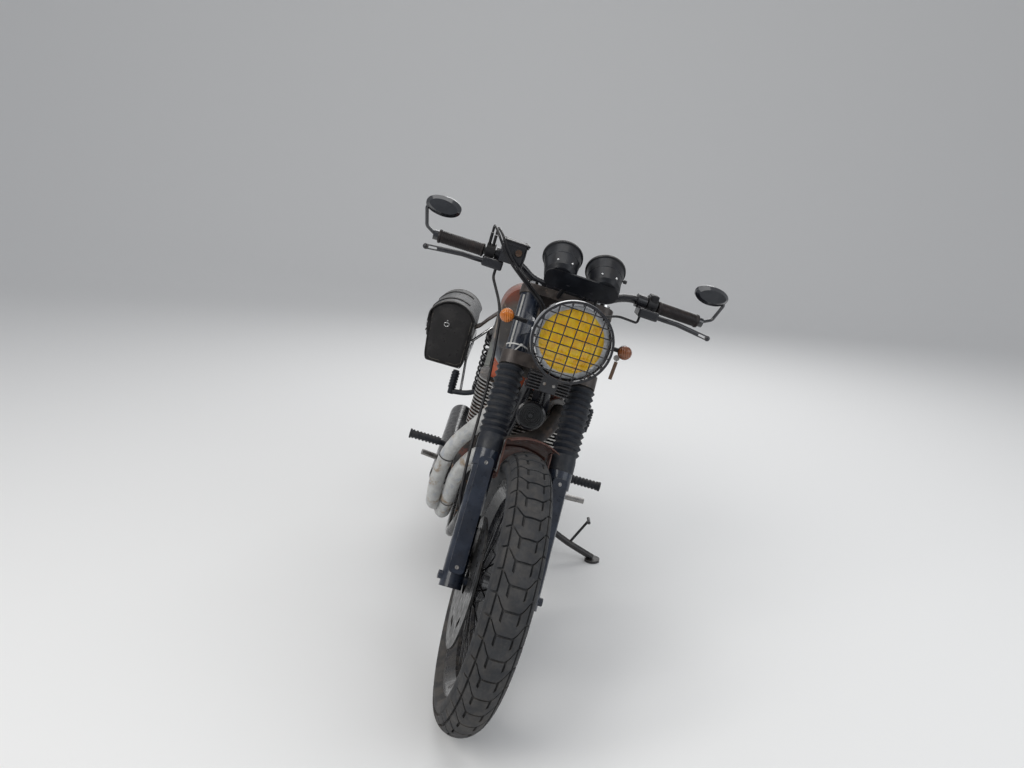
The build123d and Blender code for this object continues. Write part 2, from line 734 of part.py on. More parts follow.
def frame_spine():
    # Steering head and the backbone under the tank
    head = steer_frame * (rising(head_tube_radius, head_low, head_high)
                          - rising(stem_radius + running_gap, head_low - 1, head_high + 1))
    spine = smooth_tube([axis_point(head_low + 66, back=20), (0, 520, 826), (0, 800, 790), (0, 905, 770)], 19)
    bore = steer_frame * rising(stem_radius + running_gap, head_low - 60, head_high + 60)
    cross = rod((-118, 905, 772), (118, 905, 772), 13)
    rests = [rod((-tunnel_half, y, z), (tunnel_half, y, z), 9) for y, z in ((474, 838), (800, 790))]
    return head.fuse(spine - bore, cross, *rests)


def cradle_side(side):
    # Front downtube, lower rail and rear upright in one bent tube
    points = [axis_point(head_low + 22, side * 17, 24), (side * 36, 436, 630), (side * 100, 432, 300),
              (side * 115, 530, 196), (side * 118, 870, 205), (side * 118, 942, 300), (side * 118, 940, 480),
              (side * 118, 905, 772)]
    return bent_tube(points, [120, 70, 70, 80, 70, 120], 15)


def horn_tie():
    # Cross tie between the downtubes that the horn hangs from
    return rod((-27, 386, 737), (27, 386, 737), 6)


def stand_lug():
    # Flat lug on the left rail with the bolt that the side stand turns on
    flat = box_at((114, stand_pivot[1] - 57, 197), (stand_pivot[0] + 13, stand_pivot[1] + 18, 208), 4)
    boss = stand_place * (Pos(0, 0, eye_half + stand_gap) * Cylinder(14, 16, align=lifted))
    bolt = stand_place * Pos(0, 0, -eye_half - 8) * Cylinder(stand_bolt, 30, align=lifted)
    head = stand_place * Pos(0, 0, -eye_half - stand_gap - 7) * Cylinder(10, 7, align=lifted)
    return flat.fuse(boss, bolt, head)


def frame_cradle():
    bore = steer_frame * rising(head_tube_radius, head_low - 30, head_high + 30)
    sides = [cradle_side(side) - bore - frame_spine() for side in (-1, 1)]
    front_bar = rod((-98, 437, 300), (98, 437, 300), 12)
    low_bar = rod((-118, 850, 205), (118, 850, 205), 12)
    plates = [plate([(930, 350), (1012, 374), (1024, 400), (1012, 426), (930, 450)], side * 126, 9) for side in (-1, 1)]
    spindle = across(Cylinder(pivot_radius, 2 * 136), 0, swing_pivot_y, swing_pivot_z)
    lug = stand_lug()
    return sides[0].fuse(sides[1], front_bar, low_bar, spindle, lug, horn_tie(), *plates)


def subframe():
    # Seat rails that meet in a loop at the back, with struts down to the cradle
    points = [(-118, 905, 792), (-112, 1190, 800), (-106, 1300, 806), (0, 1322, 810), (106, 1300, 806),
              (112, 1190, 800), (118, 905, 792)]
    loop = bent_tube(points, [300, 80, 60, 80, 300], 11)
    feet = [rod((side * 112, 905, 780), (side * 116, 905, 792), 11) - frame_cradle() - frame_spine() for side in (-1, 1)]
    struts = [rod((side * 118, 936, 520), (side * 113, 1205, 790), 11) - cradle_side(side) for side in (-1, 1)]
    posts = [rod((side * 113, shock_top[0], shock_top[1]), (side * (shock_x + 14), shock_top[0], shock_top[1]), 8)
             for side in (-1, 1)]
    tabs = [plate([(1160, 795), (1215, 795), (1206, 708), (1176, 708)], side * 114, 10) for side in (-1, 1)]
    return loop.fuse(*(feet + struts + posts + tabs)) - frame_spine()


def swingarm():
    # Two box arms on a cross tube, with axle slots at the back
    pivot = across(Cylinder(24, 2 * arm_x - 20), 0, swing_pivot_y, swing_pivot_z)
    arms = []
    for side in (-1, 1):
        outline = [(swing_pivot_y - 26, swing_pivot_z - 26), (swing_pivot_y - 26, swing_pivot_z + 26),
                   (rear_y - 60, rear_radius + 28), (rear_y + 38, rear_radius + 22), (rear_y + 38, rear_radius - 22),
                   (rear_y - 60, rear_radius - 24)]
        arm = plate(outline, side * arm_x, 26)
        slot = Pos(side * arm_x, rear_y, rear_radius) * Rot(Y=90) * Cylinder(axle_radius, 40)
        arms.append(arm - slot)
    posts = [rod((side * arm_x, *shock_bottom), (side * (shock_x + 14), *shock_bottom), 8)
             for side in (-1, 1)]
    lugs = [plate([(1405, 330), (1475, 330), (1458, 408), (1424, 408)], side * arm_x, 20) for side in (-1, 1)]
    whole = pivot.fuse(*(arms + posts + lugs))
    return whole - across(Cylinder(pivot_radius + 0.1, 3 * arm_x), 0, swing_pivot_y, swing_pivot_z)


def rear_axle():
    length = 2 * arm_x + 60
    solid = Cylinder(axle_radius, length) + Pos(0, 0, length / 2 - 7) * Cylinder(16, 14)
    solid += Pos(0, 0, 7 - length / 2) * Cylinder(16, 14)
    return across(solid - Cylinder(axle_bore, length + 10), 0, rear_y, rear_radius)


def shock():
    # Damper with two eyes, spring seats and an open coil, drawn up Z and set between its mounts
    length = math.hypot(shock_top[0] - shock_bottom[0], shock_top[1] - shock_bottom[1])
    eye = Rot(Y=90) * (Cylinder(17, 24) - Cylinder(8.05, 30))
    damper = rising(20, 15, length * 0.62) + rising(8, length * 0.5, length - 14)
    seat_low = rising(31, 46, 54)
    seat_high = rising(31, length - 60, length - 48) + rising(22, length - 48, length - 26)
    body = (damper + seat_low + seat_high) - Rot(Y=90) * Cylinder(15, 40) - Pos(0, 0, length) * Rot(Y=90) * Cylinder(15, 40)
    body = body + eye + Pos(0, 0, length) * eye
    tilt = math.degrees(math.atan2(shock_bottom[0] - shock_top[0], shock_top[1] - shock_bottom[1]))
    spring_low = 54.0
    spring_high = length - 60.0
    wire = spring_wire
    turns = Helix(pitch=(spring_high - spring_low - 2 * wire) / spring_coils,
                  height=spring_high - spring_low - 2 * wire, radius=spring_radius)
    coil = Pos(0, 0, spring_low + wire) * sweep(Plane(origin=turns @ 0, z_dir=turns % 0) * Circle(wire), path=turns,
                                                is_frenet=True)
    place = Pos(-shock_x, shock_bottom[0], shock_bottom[1]) * Rot(X=tilt)
    return [place * body, place * coil]


keep("frame_spine", "chassis", frame_spine())
keep("frame_cradle", "chassis", frame_cradle())
keep("subframe", "chassis", subframe())
keep("swingarm", "chassis", swingarm())
keep("rear_axle", "chassis", rear_axle())
shock_pieces = shock()
keep("shocks", "chassis", Compound(children=[piece for side in shock_pieces for piece in both_sides(side)]))


# Engine: an upright air-cooled twin

def crankcase():
    # Cases with a ribbed sump, the round clutch cover on the right and the
    # stepped generator and sprocket covers on the left
    outline = [(468, 305), (474, 470), (500, 544.7), (700, 544.7), (760, 520), (895, 470), (918, 360), (868, 252),
               (640, 224), (530, 230)]
    middle = plate(outline, 0, 2 * 118)
    middle = fillet(middle.edges().filter_by(Axis.X), 22)
    pieces = [middle]
    for side, reach, radius, y, z in (
            (-1, case_half, 104, 640, 390), (-1, case_half - 6, 50, 800, 400),
            (1, case_half, 84, 560, 385), (1, case_half - 14, 62, 745, 400)):
        cover = extrude(Circle(radius), amount=reach - 100, taper=7)
        cover = fillet(cover.edges().group_by(Axis.Z)[-1], 12)
        pieces.append(Pos(side * 100, y, z) * Rot(Y=side * 90) * cover)
    for index in range(5):
        pieces.append(Pos(0, 600 + index * 30, 222) * Box(150, 6, 22))
    whole = pieces[0].fuse(*pieces[1:])
    recess = box_at((70, 838, 330), (130, 940, 470))
    sprocket = across(Cylinder(front_sprocket_radius - 0.2, 8), chain_x, front_sprocket_y, 400)
    shaft = across(Cylinder(16, 40), 80, front_sprocket_y, 400)
    return (whole - recess).fuse(sprocket, shaft)


def finned_block(low, count, half, front, back, core_half, corner):
    # A core with evenly spaced cooling fins whose corners are well rounded
    mid_y = (front + back) / 2
    deep = back - front
    high = low + count * fin_pitch
    core = Pos(0, mid_y, low) * extrude(RectangleRounded(2 * core_half, deep - 60, 30), amount=high - low)
    fin = extrude(RectangleRounded(2 * half, deep, corner), amount=fin_thick)
    return joined([core] + [Pos(0, mid_y, low + index * fin_pitch + (fin_pitch - fin_thick) / 2) * fin
                            for index in range(count)])


head_bottom = barrel_bottom + barrel_fins * fin_pitch
head_top = head_bottom + head_fins * fin_pitch


def cylinder_head():
    # Finned head with two exhaust collars in front and two inlet stubs behind
    block = finned_block(head_bottom, head_fins, barrel_half, barrel_front, barrel_back, 128, 62)
    extras = []
    for side in (-1, 1):
        extras.append(Pos(side * port_x, barrel_front, port_z) * Rot(X=90) * Cylinder(26, 60))
        extras.append(Pos(side * 52, barrel_back, port_z) * Rot(X=90) * Cylinder(22, 52))
    deck = Pos(0, (barrel_front + barrel_back) / 2, head_top) * extrude(
        RectangleRounded(2 * cam_cover_half, barrel_back - barrel_front - 20, 50), amount=6)
    return block.fuse(deck, *extras)


def cam_cover():
    # Two rounded camshaft lobes side by side with a valley between
    level = head_top + 6
    lobes = []
    for middle in (535, 632):
        bar = Pos(0, middle, level + 14) * Rot(Y=90) * Cylinder(40, 2 * cam_cover_half - 70)
        ends = [Pos(side * (cam_cover_half - 35), middle, level + 14) * Sphere(40) for side in (-1, 1)]
        lobes += [bar] + ends
    base = Pos(0, 584, level) * extrude(RectangleRounded(2 * cam_cover_half, 170, 40), amount=26)
    floor = Pos(0, 584, level - 100) * Box(600, 600, 200)
    return base.fuse(*lobes) - floor


def carburettors():
    # Two carburettors behind the head, bowls below, with pod filters
    pieces = []
    for side in (-1, 1):
        body = Pos(side * 52, 762, 672) * Rot(X=90) * Cylinder(25, 92)
        chamber = Pos(side * 52, 762, 700) * Cylinder(24, 40)
        bowl = Pos(side * 52, 762, 640) * Cylinder(22, 34)
        pod = Pos(side * 52, 845, 672) * Rot(X=90) * Cylinder(36, 74)
        pieces.append(body.fuse(chamber, bowl, pod))
    link = Pos(0, 752, 690) * Box(80, 12, 10)
    return pieces[0].fuse(pieces[1], link)


def header_pipes():
    # Both pipes sweep out to the right of the frame, wrapped, and run low
    port_y = barrel_front - 30.2
    outer = smooth_tube([(-port_x, port_y, port_z), (-port_x, 404, port_z), (-116, 384, 610), (-180, 408, 505),
                         (-196, 436, 400), (-190, 490, 300), (-186, 570, 262), (-184, 640, 262),
                         (-184, 689.7, 262)], header_radius)
    inner = smooth_tube([(port_x, port_y, port_z), (port_x, 404, port_z), (48, 374, 612), (-40, 366, 566),
                         (-110, 382, 510), (-146, 420, 430), (-150, 480, 320), (-154, 560, 240),
                         (-172, 640, 238), (-172, 689.7, 238)], header_radius)
    return outer, inner


def silencer():
    # Collector that takes both pipes, then a plain can with a turned-in end
    collector = rod((-181, 690, 250), (-181, 730, 250), 38) + rod((-181, 722, 250), (-186, 790, 268), 38)
    can = rod((-186, 780, 267), (-190, 1360, 322), silencer_radius)
    can = fillet(can.edges(), 9)
    way = Vector(-4, 580, 55).normalized()
    end = Vector(-190, 1360, 322)
    outlet = rod(tuple(end - way * 6), tuple(end + way * 16), 26)
    hollow = rod(tuple(end - way * 60), tuple(end + way * 20), 23)
    bracket = plate([(1060, 320), (1084, 320), (1024, 506), (1000, 506)], -152, 6)
    return collector.fuse(can, outlet, bracket - footrests()[1]) - hollow


keep("crankcase", "chassis", crankcase())
keep("barrel", "chassis", finned_block(barrel_bottom, barrel_fins, barrel_half, barrel_front, barrel_back, 128, 62))
keep("cylinder_head", "chassis", cylinder_head())
keep("cam_cover", "chassis", cam_cover())
keep("carburettors", "chassis", carburettors())
pipes = header_pipes()
keep("header_pipes", "chassis", pipes[0] + pipes[1])


# Tank, seat and body panels

def fuel_tank():
    # Lofted through rounded sections, hollowed below for the backbone, cut back at the steering head
    sections = []
    for y, half, low, high, corner in (
            (350, 96, 775, 930, 40), (420, 146, 754, 966, 62), (500, tank_half, 762, 980, 70),
            (640, tank_half - 6, 764, 972, 70), (770, tank_half - 40, 768, 930, 56), (865, 86, 774, 868, 34)):
        sections.append(Plane.XZ.offset(-y) * Pos(0, (low + high) / 2) * RectangleRounded(2 * half, high - low, corner))
    shell = loft(sections)
    nose = steer_frame * Pos(0, -148, 600) * Box(600, 400, 900)
    tunnel = Pos(0, 600, 742) * Rot(X=-8) * Box(2 * tunnel_half, 760, 220)
    return shell - nose - tunnel


def fuel_cap():
    top = Pos(0, 520, 968) * Cylinder(34, 16, align=(Align.CENTER, Align.CENTER, Align.MIN))
    top += Pos(0, 520, 984) * extrude(Circle(34), amount=8, taper=14)
    return (top - fuel_tank()).solids().sort_by(SortBy.VOLUME)[-1]


def seat():
    # Flat bench, hollow below over the rails, with a slight rise at the back
    outline = [(seat_front + 40, 812), (seat_back, 822), (seat_back + 8, 860), (seat_back - 20, 878),
               (seat_back - 130, 866), (seat_front + 150, 852), (seat_front + 48, 864), (seat_front + 34, 850)]
    body = plate(outline, 0, 2 * seat_half)
    return fillet(body.edges().filter_by(Axis.X), 9)


keep("fuel_tank", "chassis", fuel_tank())
keep("fuel_cap", "chassis", fuel_cap())
keep("seat", "chassis", seat())


def side_panel():
    # Rounded three-cornered cover below the seat, slightly crowned
    outline = make_face(Polyline((0, 0), (8, -120), (60, -195), (190, -190), (150, -20), close=True))
    panel = Plane(origin=(-140, 800, 548), x_dir=(0, 1, 0), z_dir=(-1, 0, 0)).location * extrude(
        fillet(outline.vertices(), 24), amount=16, taper=12)
    post = rod((-122, 921, 640), (-141, 921, 640), 8) - cradle_side(-1)
    return panel.fuse(post)


def rear_fender():
    # Short guard tucked under the tail of the seat
    outer = rear_radius + 58
    half = 74
    face = make_face([
        ThreePointArc((outer - 16, 0, -half), (outer, 0, 0), (outer - 16, 0, half)),
        Line((outer - 16, 0, half), (outer - 19, 0, half)),
        ThreePointArc((outer - 19, 0, half), (outer - 3, 0, 0), (outer - 19, 0, -half)),
        Line((outer - 19, 0, -half), (outer - 16, 0, -half))])
    shell = Pos(0, rear_y, rear_radius) * across(Rot(Z=178) * revolve(face, Axis.Z, 62))
    strap = box_at((-16, 1310, 646), (16, 1315, 806))
    stays = [rod((side * 71, 1262, 593), (side * 111, 1215, 796), 5) for side in (-1, 1)]
    return shell.fuse(*[stay - subframe() for stay in stays + [strap]])


def tail_lamp():
    # Round lamp on a bracket behind the seat, with the two rear indicators
    spot = Plane(origin=(0, 1352, 782), x_dir=(1, 0, 0), z_dir=(0, 1, 0)).location
    lamp = spot * turned([(0, -20), (26, -20), (34, -4), (34, 10), (28, 18), (0, 22)])
    bracket = box_at((-20, 1322, 770), (20, 1340, 800)) - subframe()
    bar = rod((-132, 1338, 778), (132, 1338, 778), 5.5)
    ends = []
    for side in (-1, 1):
        body = Plane(origin=(side * 140, 1340, 778), x_dir=(1, 0, 0), z_dir=(0, 1, 0)).location * turned(
            [(0, -22), (9, -20), (16, -6), (17, 6), (14, 12), (8, 15), (0, 16)])
        ends.append(body)
    return lamp.fuse(bracket, bar, *ends)


keep("side_panels", "chassis", Compound(children=both_sides(side_panel())))
keep("rear_fender", "chassis", rear_fender())
keep("tail_lamp", "chassis", tail_lamp())


def horn():
    # Disc horn between the downtubes, on a strap
    spot = Plane(origin=(0, 330, 672), x_dir=(1, 0, 0), z_dir=(0, -1, 0.12)).location
    body = spot * turned([(0, -24), (22, -24), (26, -6), (38, -4), (39, 3), (34, 6), (31, 2), (0, 4)])
    strap = box_at((-9, 350, 660), (9, 356, 744)) + box_at((-9, 350, 734), (9, 386, 740))
    return body + (strap - horn_tie())


def chain():
    # One closed loop of chain round both sprockets
    outer_front = front_sprocket_radius + chain_depth
    outer_rear = rear_sprocket_radius + chain_depth
    span = Vector(rear_y - front_sprocket_y, rear_radius - 400.0)
    outside = make_hull(Sketch(children=[Circle(outer_front), Pos(span.X, span.Y) * Circle(outer_rear)]).edges())
    inside = make_hull(Sketch(children=[Circle(front_sprocket_radius + 0.6),
                                        Pos(span.X, span.Y) * Circle(rear_sprocket_radius + 0.6)]).edges())
    loop = extrude(outside - inside, amount=chain_width / 2, both=True)
    return Plane(origin=(chain_x, front_sprocket_y, 400), x_dir=(0, 1, 0), z_dir=(1, 0, 0)).location * loop


def footrests():
    # Ribbed rider's pegs on plates, folded passenger pegs on hangers
    pieces = []
    for side in (-1, 1):
        peg = joined([rod((side * 226, 865, 355), (side * 332, 865, 355), 12)]
                     + [Pos(side * (236 + index * 12), 865, 355) * Rot(Y=90) * Cylinder(15, 6) for index in range(8)]
                     + [Pos(side * 329, 865, 355) * Rot(Y=90) * Cylinder(16, 6)])
        arm = rod((side * 134, 905, 334), (side * 232, 868, 352), 9)
        plate_in = plate([(880, 290), (930, 290), (945, 360), (890, 370)], side * 137, 8)
        hanger = smooth_tube([(side * 118, 985, 568), (side * 146, 994, 530), (side * 190, 1016, 500),
                              (side * 244, 1022, 492)], 9) - subframe()
        back_peg = joined([rod((side * 244, 1022, 484), (side * 244, 1026, 568), 11)]
                          + [Pos(side * 244, 1023 + index * 0.5, 508 + index * 10) * Cylinder(14, 5)
                             for index in range(6)])
        pieces.append(peg.fuse(arm, plate_in))
        pieces.append(hanger.fuse(back_peg))
    return pieces


def foot_levers():
    # Brake pedal on the right, gear lever on the left
    arm_way = Vector(-98, -37, 18).normalized()
    hinge = Vector(-190, 883.9, 344.3)
    brake = smooth_tube([tuple(hinge), (-207, 800, 342), (-218, 716, 352)], 7)
    brake = brake.fuse(rod((-218, 716, 352), (-268, 700, 362), 9), rod(tuple(hinge - arm_way * 8),
                                                                       tuple(hinge + arm_way * 8), 14))
    brake -= rod(tuple(hinge - arm_way * 30), tuple(hinge + arm_way * 30), 9 + running_gap)
    gear = smooth_tube([(150, 830, 300), (186, 770, 304), (208, 700, 345)], 6)
    gear = gear.fuse(rod((205, 704, 346), (268, 700, 350), 9), rod((118.3, 830, 300), (158, 830, 300), 10))
    return [brake, gear]


keep("horn", "chassis", horn())
keep("drive_chain", "chassis", chain())
keep("footrests", "chassis", Compound(children=footrests()))
keep("silencer", "chassis", silencer())
keep("foot_levers", "chassis", Compound(children=foot_levers()))


# Bag on the right, carried by a tube rack and a leather yoke from under the seat

bag_inner = -232.0
bag_outer = -392.0
bag_dome = 88.0
bag_dome_z = 690.0
bag_low = 552.0
bag_taper = 0.1
bag_relief = 2.2
bag_mid = (bag_inner + bag_outer) / 2


def bag_outline(grow, low):
    # Rounded box section with a domed top, as seen from the front
    shoulder = math.sqrt((bag_dome + grow) ** 2 - ((bag_inner - bag_outer) / 2 + grow) ** 2) + bag_dome_z
    inner, outer = bag_inner + grow, bag_outer - grow
    drift = bag_taper * (shoulder - low)
    corners = Polyline((inner, shoulder), (inner, low), (outer + drift, low), (outer, shoulder))
    dome = ThreePointArc((outer, shoulder), (bag_mid, bag_dome_z + bag_dome + grow), (inner, shoulder))
    return Plane.XZ * make_face([corners, dome])


def bag_body():
    # Floor, back and front walls, and two end panels that rise under the lid
    solid = Pos(0, bag_front, 0) * extrude(bag_outline(0, bag_low), amount=bag_front - bag_back)
    solid = fillet(solid.edges().filter_by(Axis.Y).group_by(Axis.Z)[0], 20)
    room = Pos(0, bag_front + bag_wall, 0) * extrude(
        bag_outline(-bag_wall, bag_low + bag_wall), amount=bag_front - bag_back + 2 * bag_wall)
    mouth = box_at((bag_inner - bag_wall, bag_front + bag_wall, 712), (bag_outer - 1, bag_back - bag_wall, 800))
    mouth_in = box_at((bag_inner + 1, bag_front + bag_wall, 722), (bag_mid, bag_back - bag_wall, 800))
    corner_relief = box_at((bag_outer - 1, bag_front - 1, 712), (bag_outer + bag_relief, bag_back + 1, 800))
    return solid - room - mouth - mouth_in - corner_relief


def bag_lid():
    # Domed flap that hangs down over the outer side
    low = 688
    over = bag_outline(lid_gap + lid_wall, low) - bag_outline(lid_gap, low - 1)
    reach = 6
    flap = Pos(0, bag_front - reach, 0) * extrude(over, amount=bag_front - bag_back - 2 * reach)
    return flap - box_at((bag_inner - 0.2, 1000, 600), (bag_inner + 20, 1600, 722))


def bag_rack():
    # Hoop behind the bag, stayed to the shock bolt and to the passenger peg hanger
    x = bag_inner + 5.3
    corner = 18
    low, high, front, back = 580, 648, bag_front + 30, bag_back - 40
    hoop = Plane(origin=(x, 0, 0), x_dir=(0, 1, 0), z_dir=(1, 0, 0)).location * Pos(
        (front + back) / 2, (low + high) / 2) * RectangleRounded(back - front, high - low, corner)
    edge = hoop.wires()[0]
    ring = sweep(Plane(origin=edge @ 0, z_dir=edge % 0) * Circle(5), path=edge)
    top_stay = rod((x, 1190, 648), (-shock_x - 14.3, shock_top[0], shock_top[1]), 5)
    low_stay = rod((x, 1172, 584), (-212, 1030, 503), 4.5)
    return ring.fuse(top_stay, low_stay) - rod((-60, *shock_top), (-shock_x - 14.3, *shock_top), 12)


def bag_yoke():
    # Wide leather strap from the seat rail down to the back of the bag
    outline = [(-123.4, 812), (-190, 736), (-212, 706), (bag_inner + 0.4, 692), (bag_inner + 0.4, 655),
               (bag_inner + 4.9, 655), (bag_inner + 4.9, 689), (-209, 702), (-186, 733), (-123.4, 804)]
    face = Plane.XZ * make_face(Polyline(*outline, close=True))
    return Pos(0, 1222, 0) * extrude(face, amount=-90)


keep("pannier_bag", "chassis", bag_body())
keep("pannier_lid", "pannier_lid", bag_lid())
keep("pannier_rack", "chassis", bag_rack())
keep("pannier_yoke", "chassis", bag_yoke())


# Parking: turn the front end, lean, and settle on both tyres

def turn(point, angle, direction):
    # Rotates a vector about an axis through the origin
    return Vector(*point).rotate(Axis((0, 0, 0), direction), angle)


def steered(point):
    shifted = Vector(*point) - axis_base
    return axis_base + turn(shifted, park_steer, (0, sin_rake, cos_rake))


def leaned(point, pitch, lift):
    point = turn(point, park_lean, (0, 1, 0))
    return turn(point, pitch, (1, 0, 0)) + Vector(0, 0, lift)


def tyre_low(centre, axle, radius, crown, pitch, lift):
    # Lowest point of a round-crowned tyre
    middle = leaned(centre, pitch, lift)
    way = turn(turn(axle, park_lean, (0, 1, 0)), pitch, (1, 0, 0))
    return middle.Z - (radius - crown) * math.sqrt(1 - way.Z ** 2) - crown


front_centre = steered((0, 0, front_radius))
front_axle = turn((1, 0, 0), park_steer, (0, sin_rake, cos_rake))
pitch, lift = 0.0, 0.0
for _ in range(20):
    front_gap = tyre_low(front_centre, front_axle, front_radius, front_crown, pitch, lift)
    rear_gap = tyre_low((0, rear_y, rear_radius), (1, 0, 0), rear_radius, rear_crown, pitch, lift)
    lift -= front_gap
    pitch -= math.degrees((rear_gap - front_gap) / wheelbase)


def park(shape, body):
    # Moves a piece from the upright machine to where it stands parked
    if body in ("steering", "front_wheel"):
        shape = shape.rotate(steer_axis, park_steer)
    shape = shape.rotate(Axis.Y, park_lean).rotate(Axis.X, pitch)
    return shape.moved(Location((0, 0, lift)))


def unparked(point):
    # The place on the upright machine of a point of the parked one
    point = turn(Vector(*point) - Vector(0, 0, lift), -pitch, (1, 0, 0))
    return turn(point, -park_lean, (0, 1, 0))


def side_stand():
    # Bent leg with a flat foot on the ground and a tang for the boot
    foot = unparked((*stand_foot, stand_foot_thick + 3))
    pivot = Vector(*stand_pivot)
    knee = pivot + (foot - pivot) * 0.5 + Vector(-6, -6, -8)
    tube = smooth_tube([tuple(pivot), tuple(knee), tuple(foot)], stand_tube)
    over = stand_place * Pos(0, 0, eye_half) * Cylinder(34, 60, align=lifted)
    under = stand_place * Pos(0, 0, -eye_half - 60) * Cylinder(14, 60, align=lifted)
    eye = stand_place * Cylinder(15, 2 * eye_half)
    bore = stand_place * Cylinder(stand_bolt + 0.1, 4 * eye_half)
    grip_point = pivot + (foot - pivot) * 0.62 + Vector(-2, -4, -4)
    tang_end = grip_point + Vector(40, 0, 96)
    tang = rod(tuple(grip_point), tuple(tang_end), 4.5)
    bar = rod(tuple(tang_end - Vector(0, 20, 0)), tuple(tang_end + Vector(0, 20, 0)), 5.5)
    pad = Pos(*unparked((*stand_foot, 0))) * Cylinder(stand_foot_radius, stand_foot_thick, align=lifted)
    pad = pad.rotate(Axis(unparked((*stand_foot, 0)), (0, 1, 0)), -park_lean)
    return (tube - over - under).fuse(eye, tang, bar, pad) - bore


keep("side_stand", "side_stand", side_stand())

parked = {}
for node, (body, shape) in bodies.items():
    parked[node] = park(shape, body)
boxes = [shape.bounding_box() for shape in parked.values()]
low_x, high_x = min(box.min.X for box in boxes), max(box.max.X for box in boxes)
low_y, high_y = min(box.min.Y for box in boxes), max(box.max.Y for box in boxes)
shift = Vector(-(low_x + high_x) / 2, -(low_y + high_y) / 2, 0)
for node, shape in parked.items():
    parked[node] = shape.moved(Location(shift))
    export_step(parked[node], f"parts/{node}.step")
print("size", high_x - low_x, high_y - low_y, max(box.max.Z for box in boxes), "low", min(box.min.Z for box in boxes))
print("shift", shift, "pitch", pitch, "lift", lift)
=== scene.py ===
import bpy
import bmesh
import math
import random
from mathutils import Matrix, Vector, noise


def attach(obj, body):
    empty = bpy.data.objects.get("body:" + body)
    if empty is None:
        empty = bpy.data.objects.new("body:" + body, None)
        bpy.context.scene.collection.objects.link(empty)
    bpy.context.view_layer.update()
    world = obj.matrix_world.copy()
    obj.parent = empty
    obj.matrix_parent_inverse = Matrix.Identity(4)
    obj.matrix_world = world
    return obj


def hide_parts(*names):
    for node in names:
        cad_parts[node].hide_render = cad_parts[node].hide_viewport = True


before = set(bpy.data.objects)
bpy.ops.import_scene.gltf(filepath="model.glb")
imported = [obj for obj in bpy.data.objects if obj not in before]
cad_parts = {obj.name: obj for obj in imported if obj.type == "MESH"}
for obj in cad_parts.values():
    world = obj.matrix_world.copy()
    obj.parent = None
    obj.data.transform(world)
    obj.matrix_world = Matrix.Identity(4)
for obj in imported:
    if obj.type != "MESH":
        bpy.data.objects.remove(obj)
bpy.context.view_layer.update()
draw = random.Random(11)  # turns the bolt heads
print("frame loaded,", len(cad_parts), "nodes")

# The machine is described upright, in millimetres, and then parked: front end turned, leaned over, moved
park = {"lean": 13.0, "pitch": 0.06741, "steer": 5.0, "lift": -0.0730, "shift": (-205.813, -744.649, 0.0),
        "rake": 27.8, "axisY": 54.395, "axisZ": 302.321, "axisForward": 61.493}
rake = math.radians(park["rake"])
axisFoot = Vector((0, park["axisY"], park["axisZ"]))


def turned(degrees, axis):
    return Matrix.Rotation(math.radians(degrees), 4, axis)


def moved(*place):
    return Matrix.Translation(place[0] if len(place) == 1 else place)


leanMatrix = (moved(park["shift"]) @ moved(0, 0, park["lift"])
              @ turned(park["pitch"], "X") @ turned(park["lean"], "Y"))
steerMatrix = (moved(axisFoot) @ turned(park["steer"], Vector((0, math.sin(rake), math.cos(rake))))
               @ moved(-axisFoot))
# Fork drawing space: X sideways, Y back from the steering axis, Z up along it
forkSpace = moved(axisFoot) @ turned(-park["rake"], "X")


def parkedMatrix(body):
    whole = leanMatrix @ steerMatrix if body in ("steering", "front_wheel") else leanMatrix
    return Matrix.Scale(0.001, 4) @ whole


def clearSelection():
    if bpy.context.mode != "OBJECT":
        bpy.ops.object.mode_set(mode="OBJECT")
    bpy.ops.object.select_all(action="DESELECT")


def useOnly(obj):
    clearSelection()
    bpy.context.view_layer.objects.active = obj
    obj.select_set(True)


def startEdit(obj, pick="SELECT"):
    useOnly(obj)
    bpy.ops.object.mode_set(mode="EDIT")
    bpy.ops.mesh.select_all(action=pick)


def endEdit():
    bpy.ops.object.mode_set(mode="OBJECT")


def tidyNormals(obj, merge=0.01):
    startEdit(obj)
    bpy.ops.mesh.remove_doubles(threshold=merge)
    bpy.ops.mesh.normals_make_consistent(inside=False)
    endEdit()


def applyModifiers(obj):
    useOnly(obj)
    for name in [modifier.name for modifier in obj.modifiers]:
        bpy.ops.object.modifier_apply(modifier=name)


def addBevel(obj, width, segments=2, angle=35):
    bevel = obj.modifiers.new("softEdge", "BEVEL")
    bevel.width = width
    bevel.segments = segments
    bevel.limit_method = "ANGLE"
    bevel.angle_limit = math.radians(angle)
    applyModifiers(obj)


def dress(obj, material, smooth):
    useOnly(obj)
    if smooth:
        bpy.ops.object.shade_smooth_by_angle(angle=math.radians(smooth))
    obj.data.materials.clear()
    obj.data.materials.append(material)


def setDown(obj, body, finishName, smooth=35, local=None):
    # Puts a piece drawn upright in millimetres where it stands parked, and lets it ride
    dress(obj, finish[finishName], smooth)
    place = parkedMatrix(body) @ (local or Matrix.Identity(4)) @ obj.matrix_world
    obj.matrix_world = Matrix.Identity(4)
    obj.data.transform(place)
    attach(obj, body)
    return obj


def standFor(obj, nodeName):
    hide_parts(nodeName)


def joinPieces(name, objects):
    clearSelection()
    for obj in objects:
        obj.select_set(True)
    bpy.context.view_layer.objects.active = objects[0]
    if len(objects) > 1:
        bpy.ops.object.join()
    whole = bpy.context.view_layer.objects.active
    whole.name = name
    whole.data.name = name
    return whole


def copyPiece(source, matrix):
    twin = source.copy()
    twin.data = source.data.copy()
    bpy.context.collection.objects.link(twin)
    twin.data.transform(matrix)
    return twin


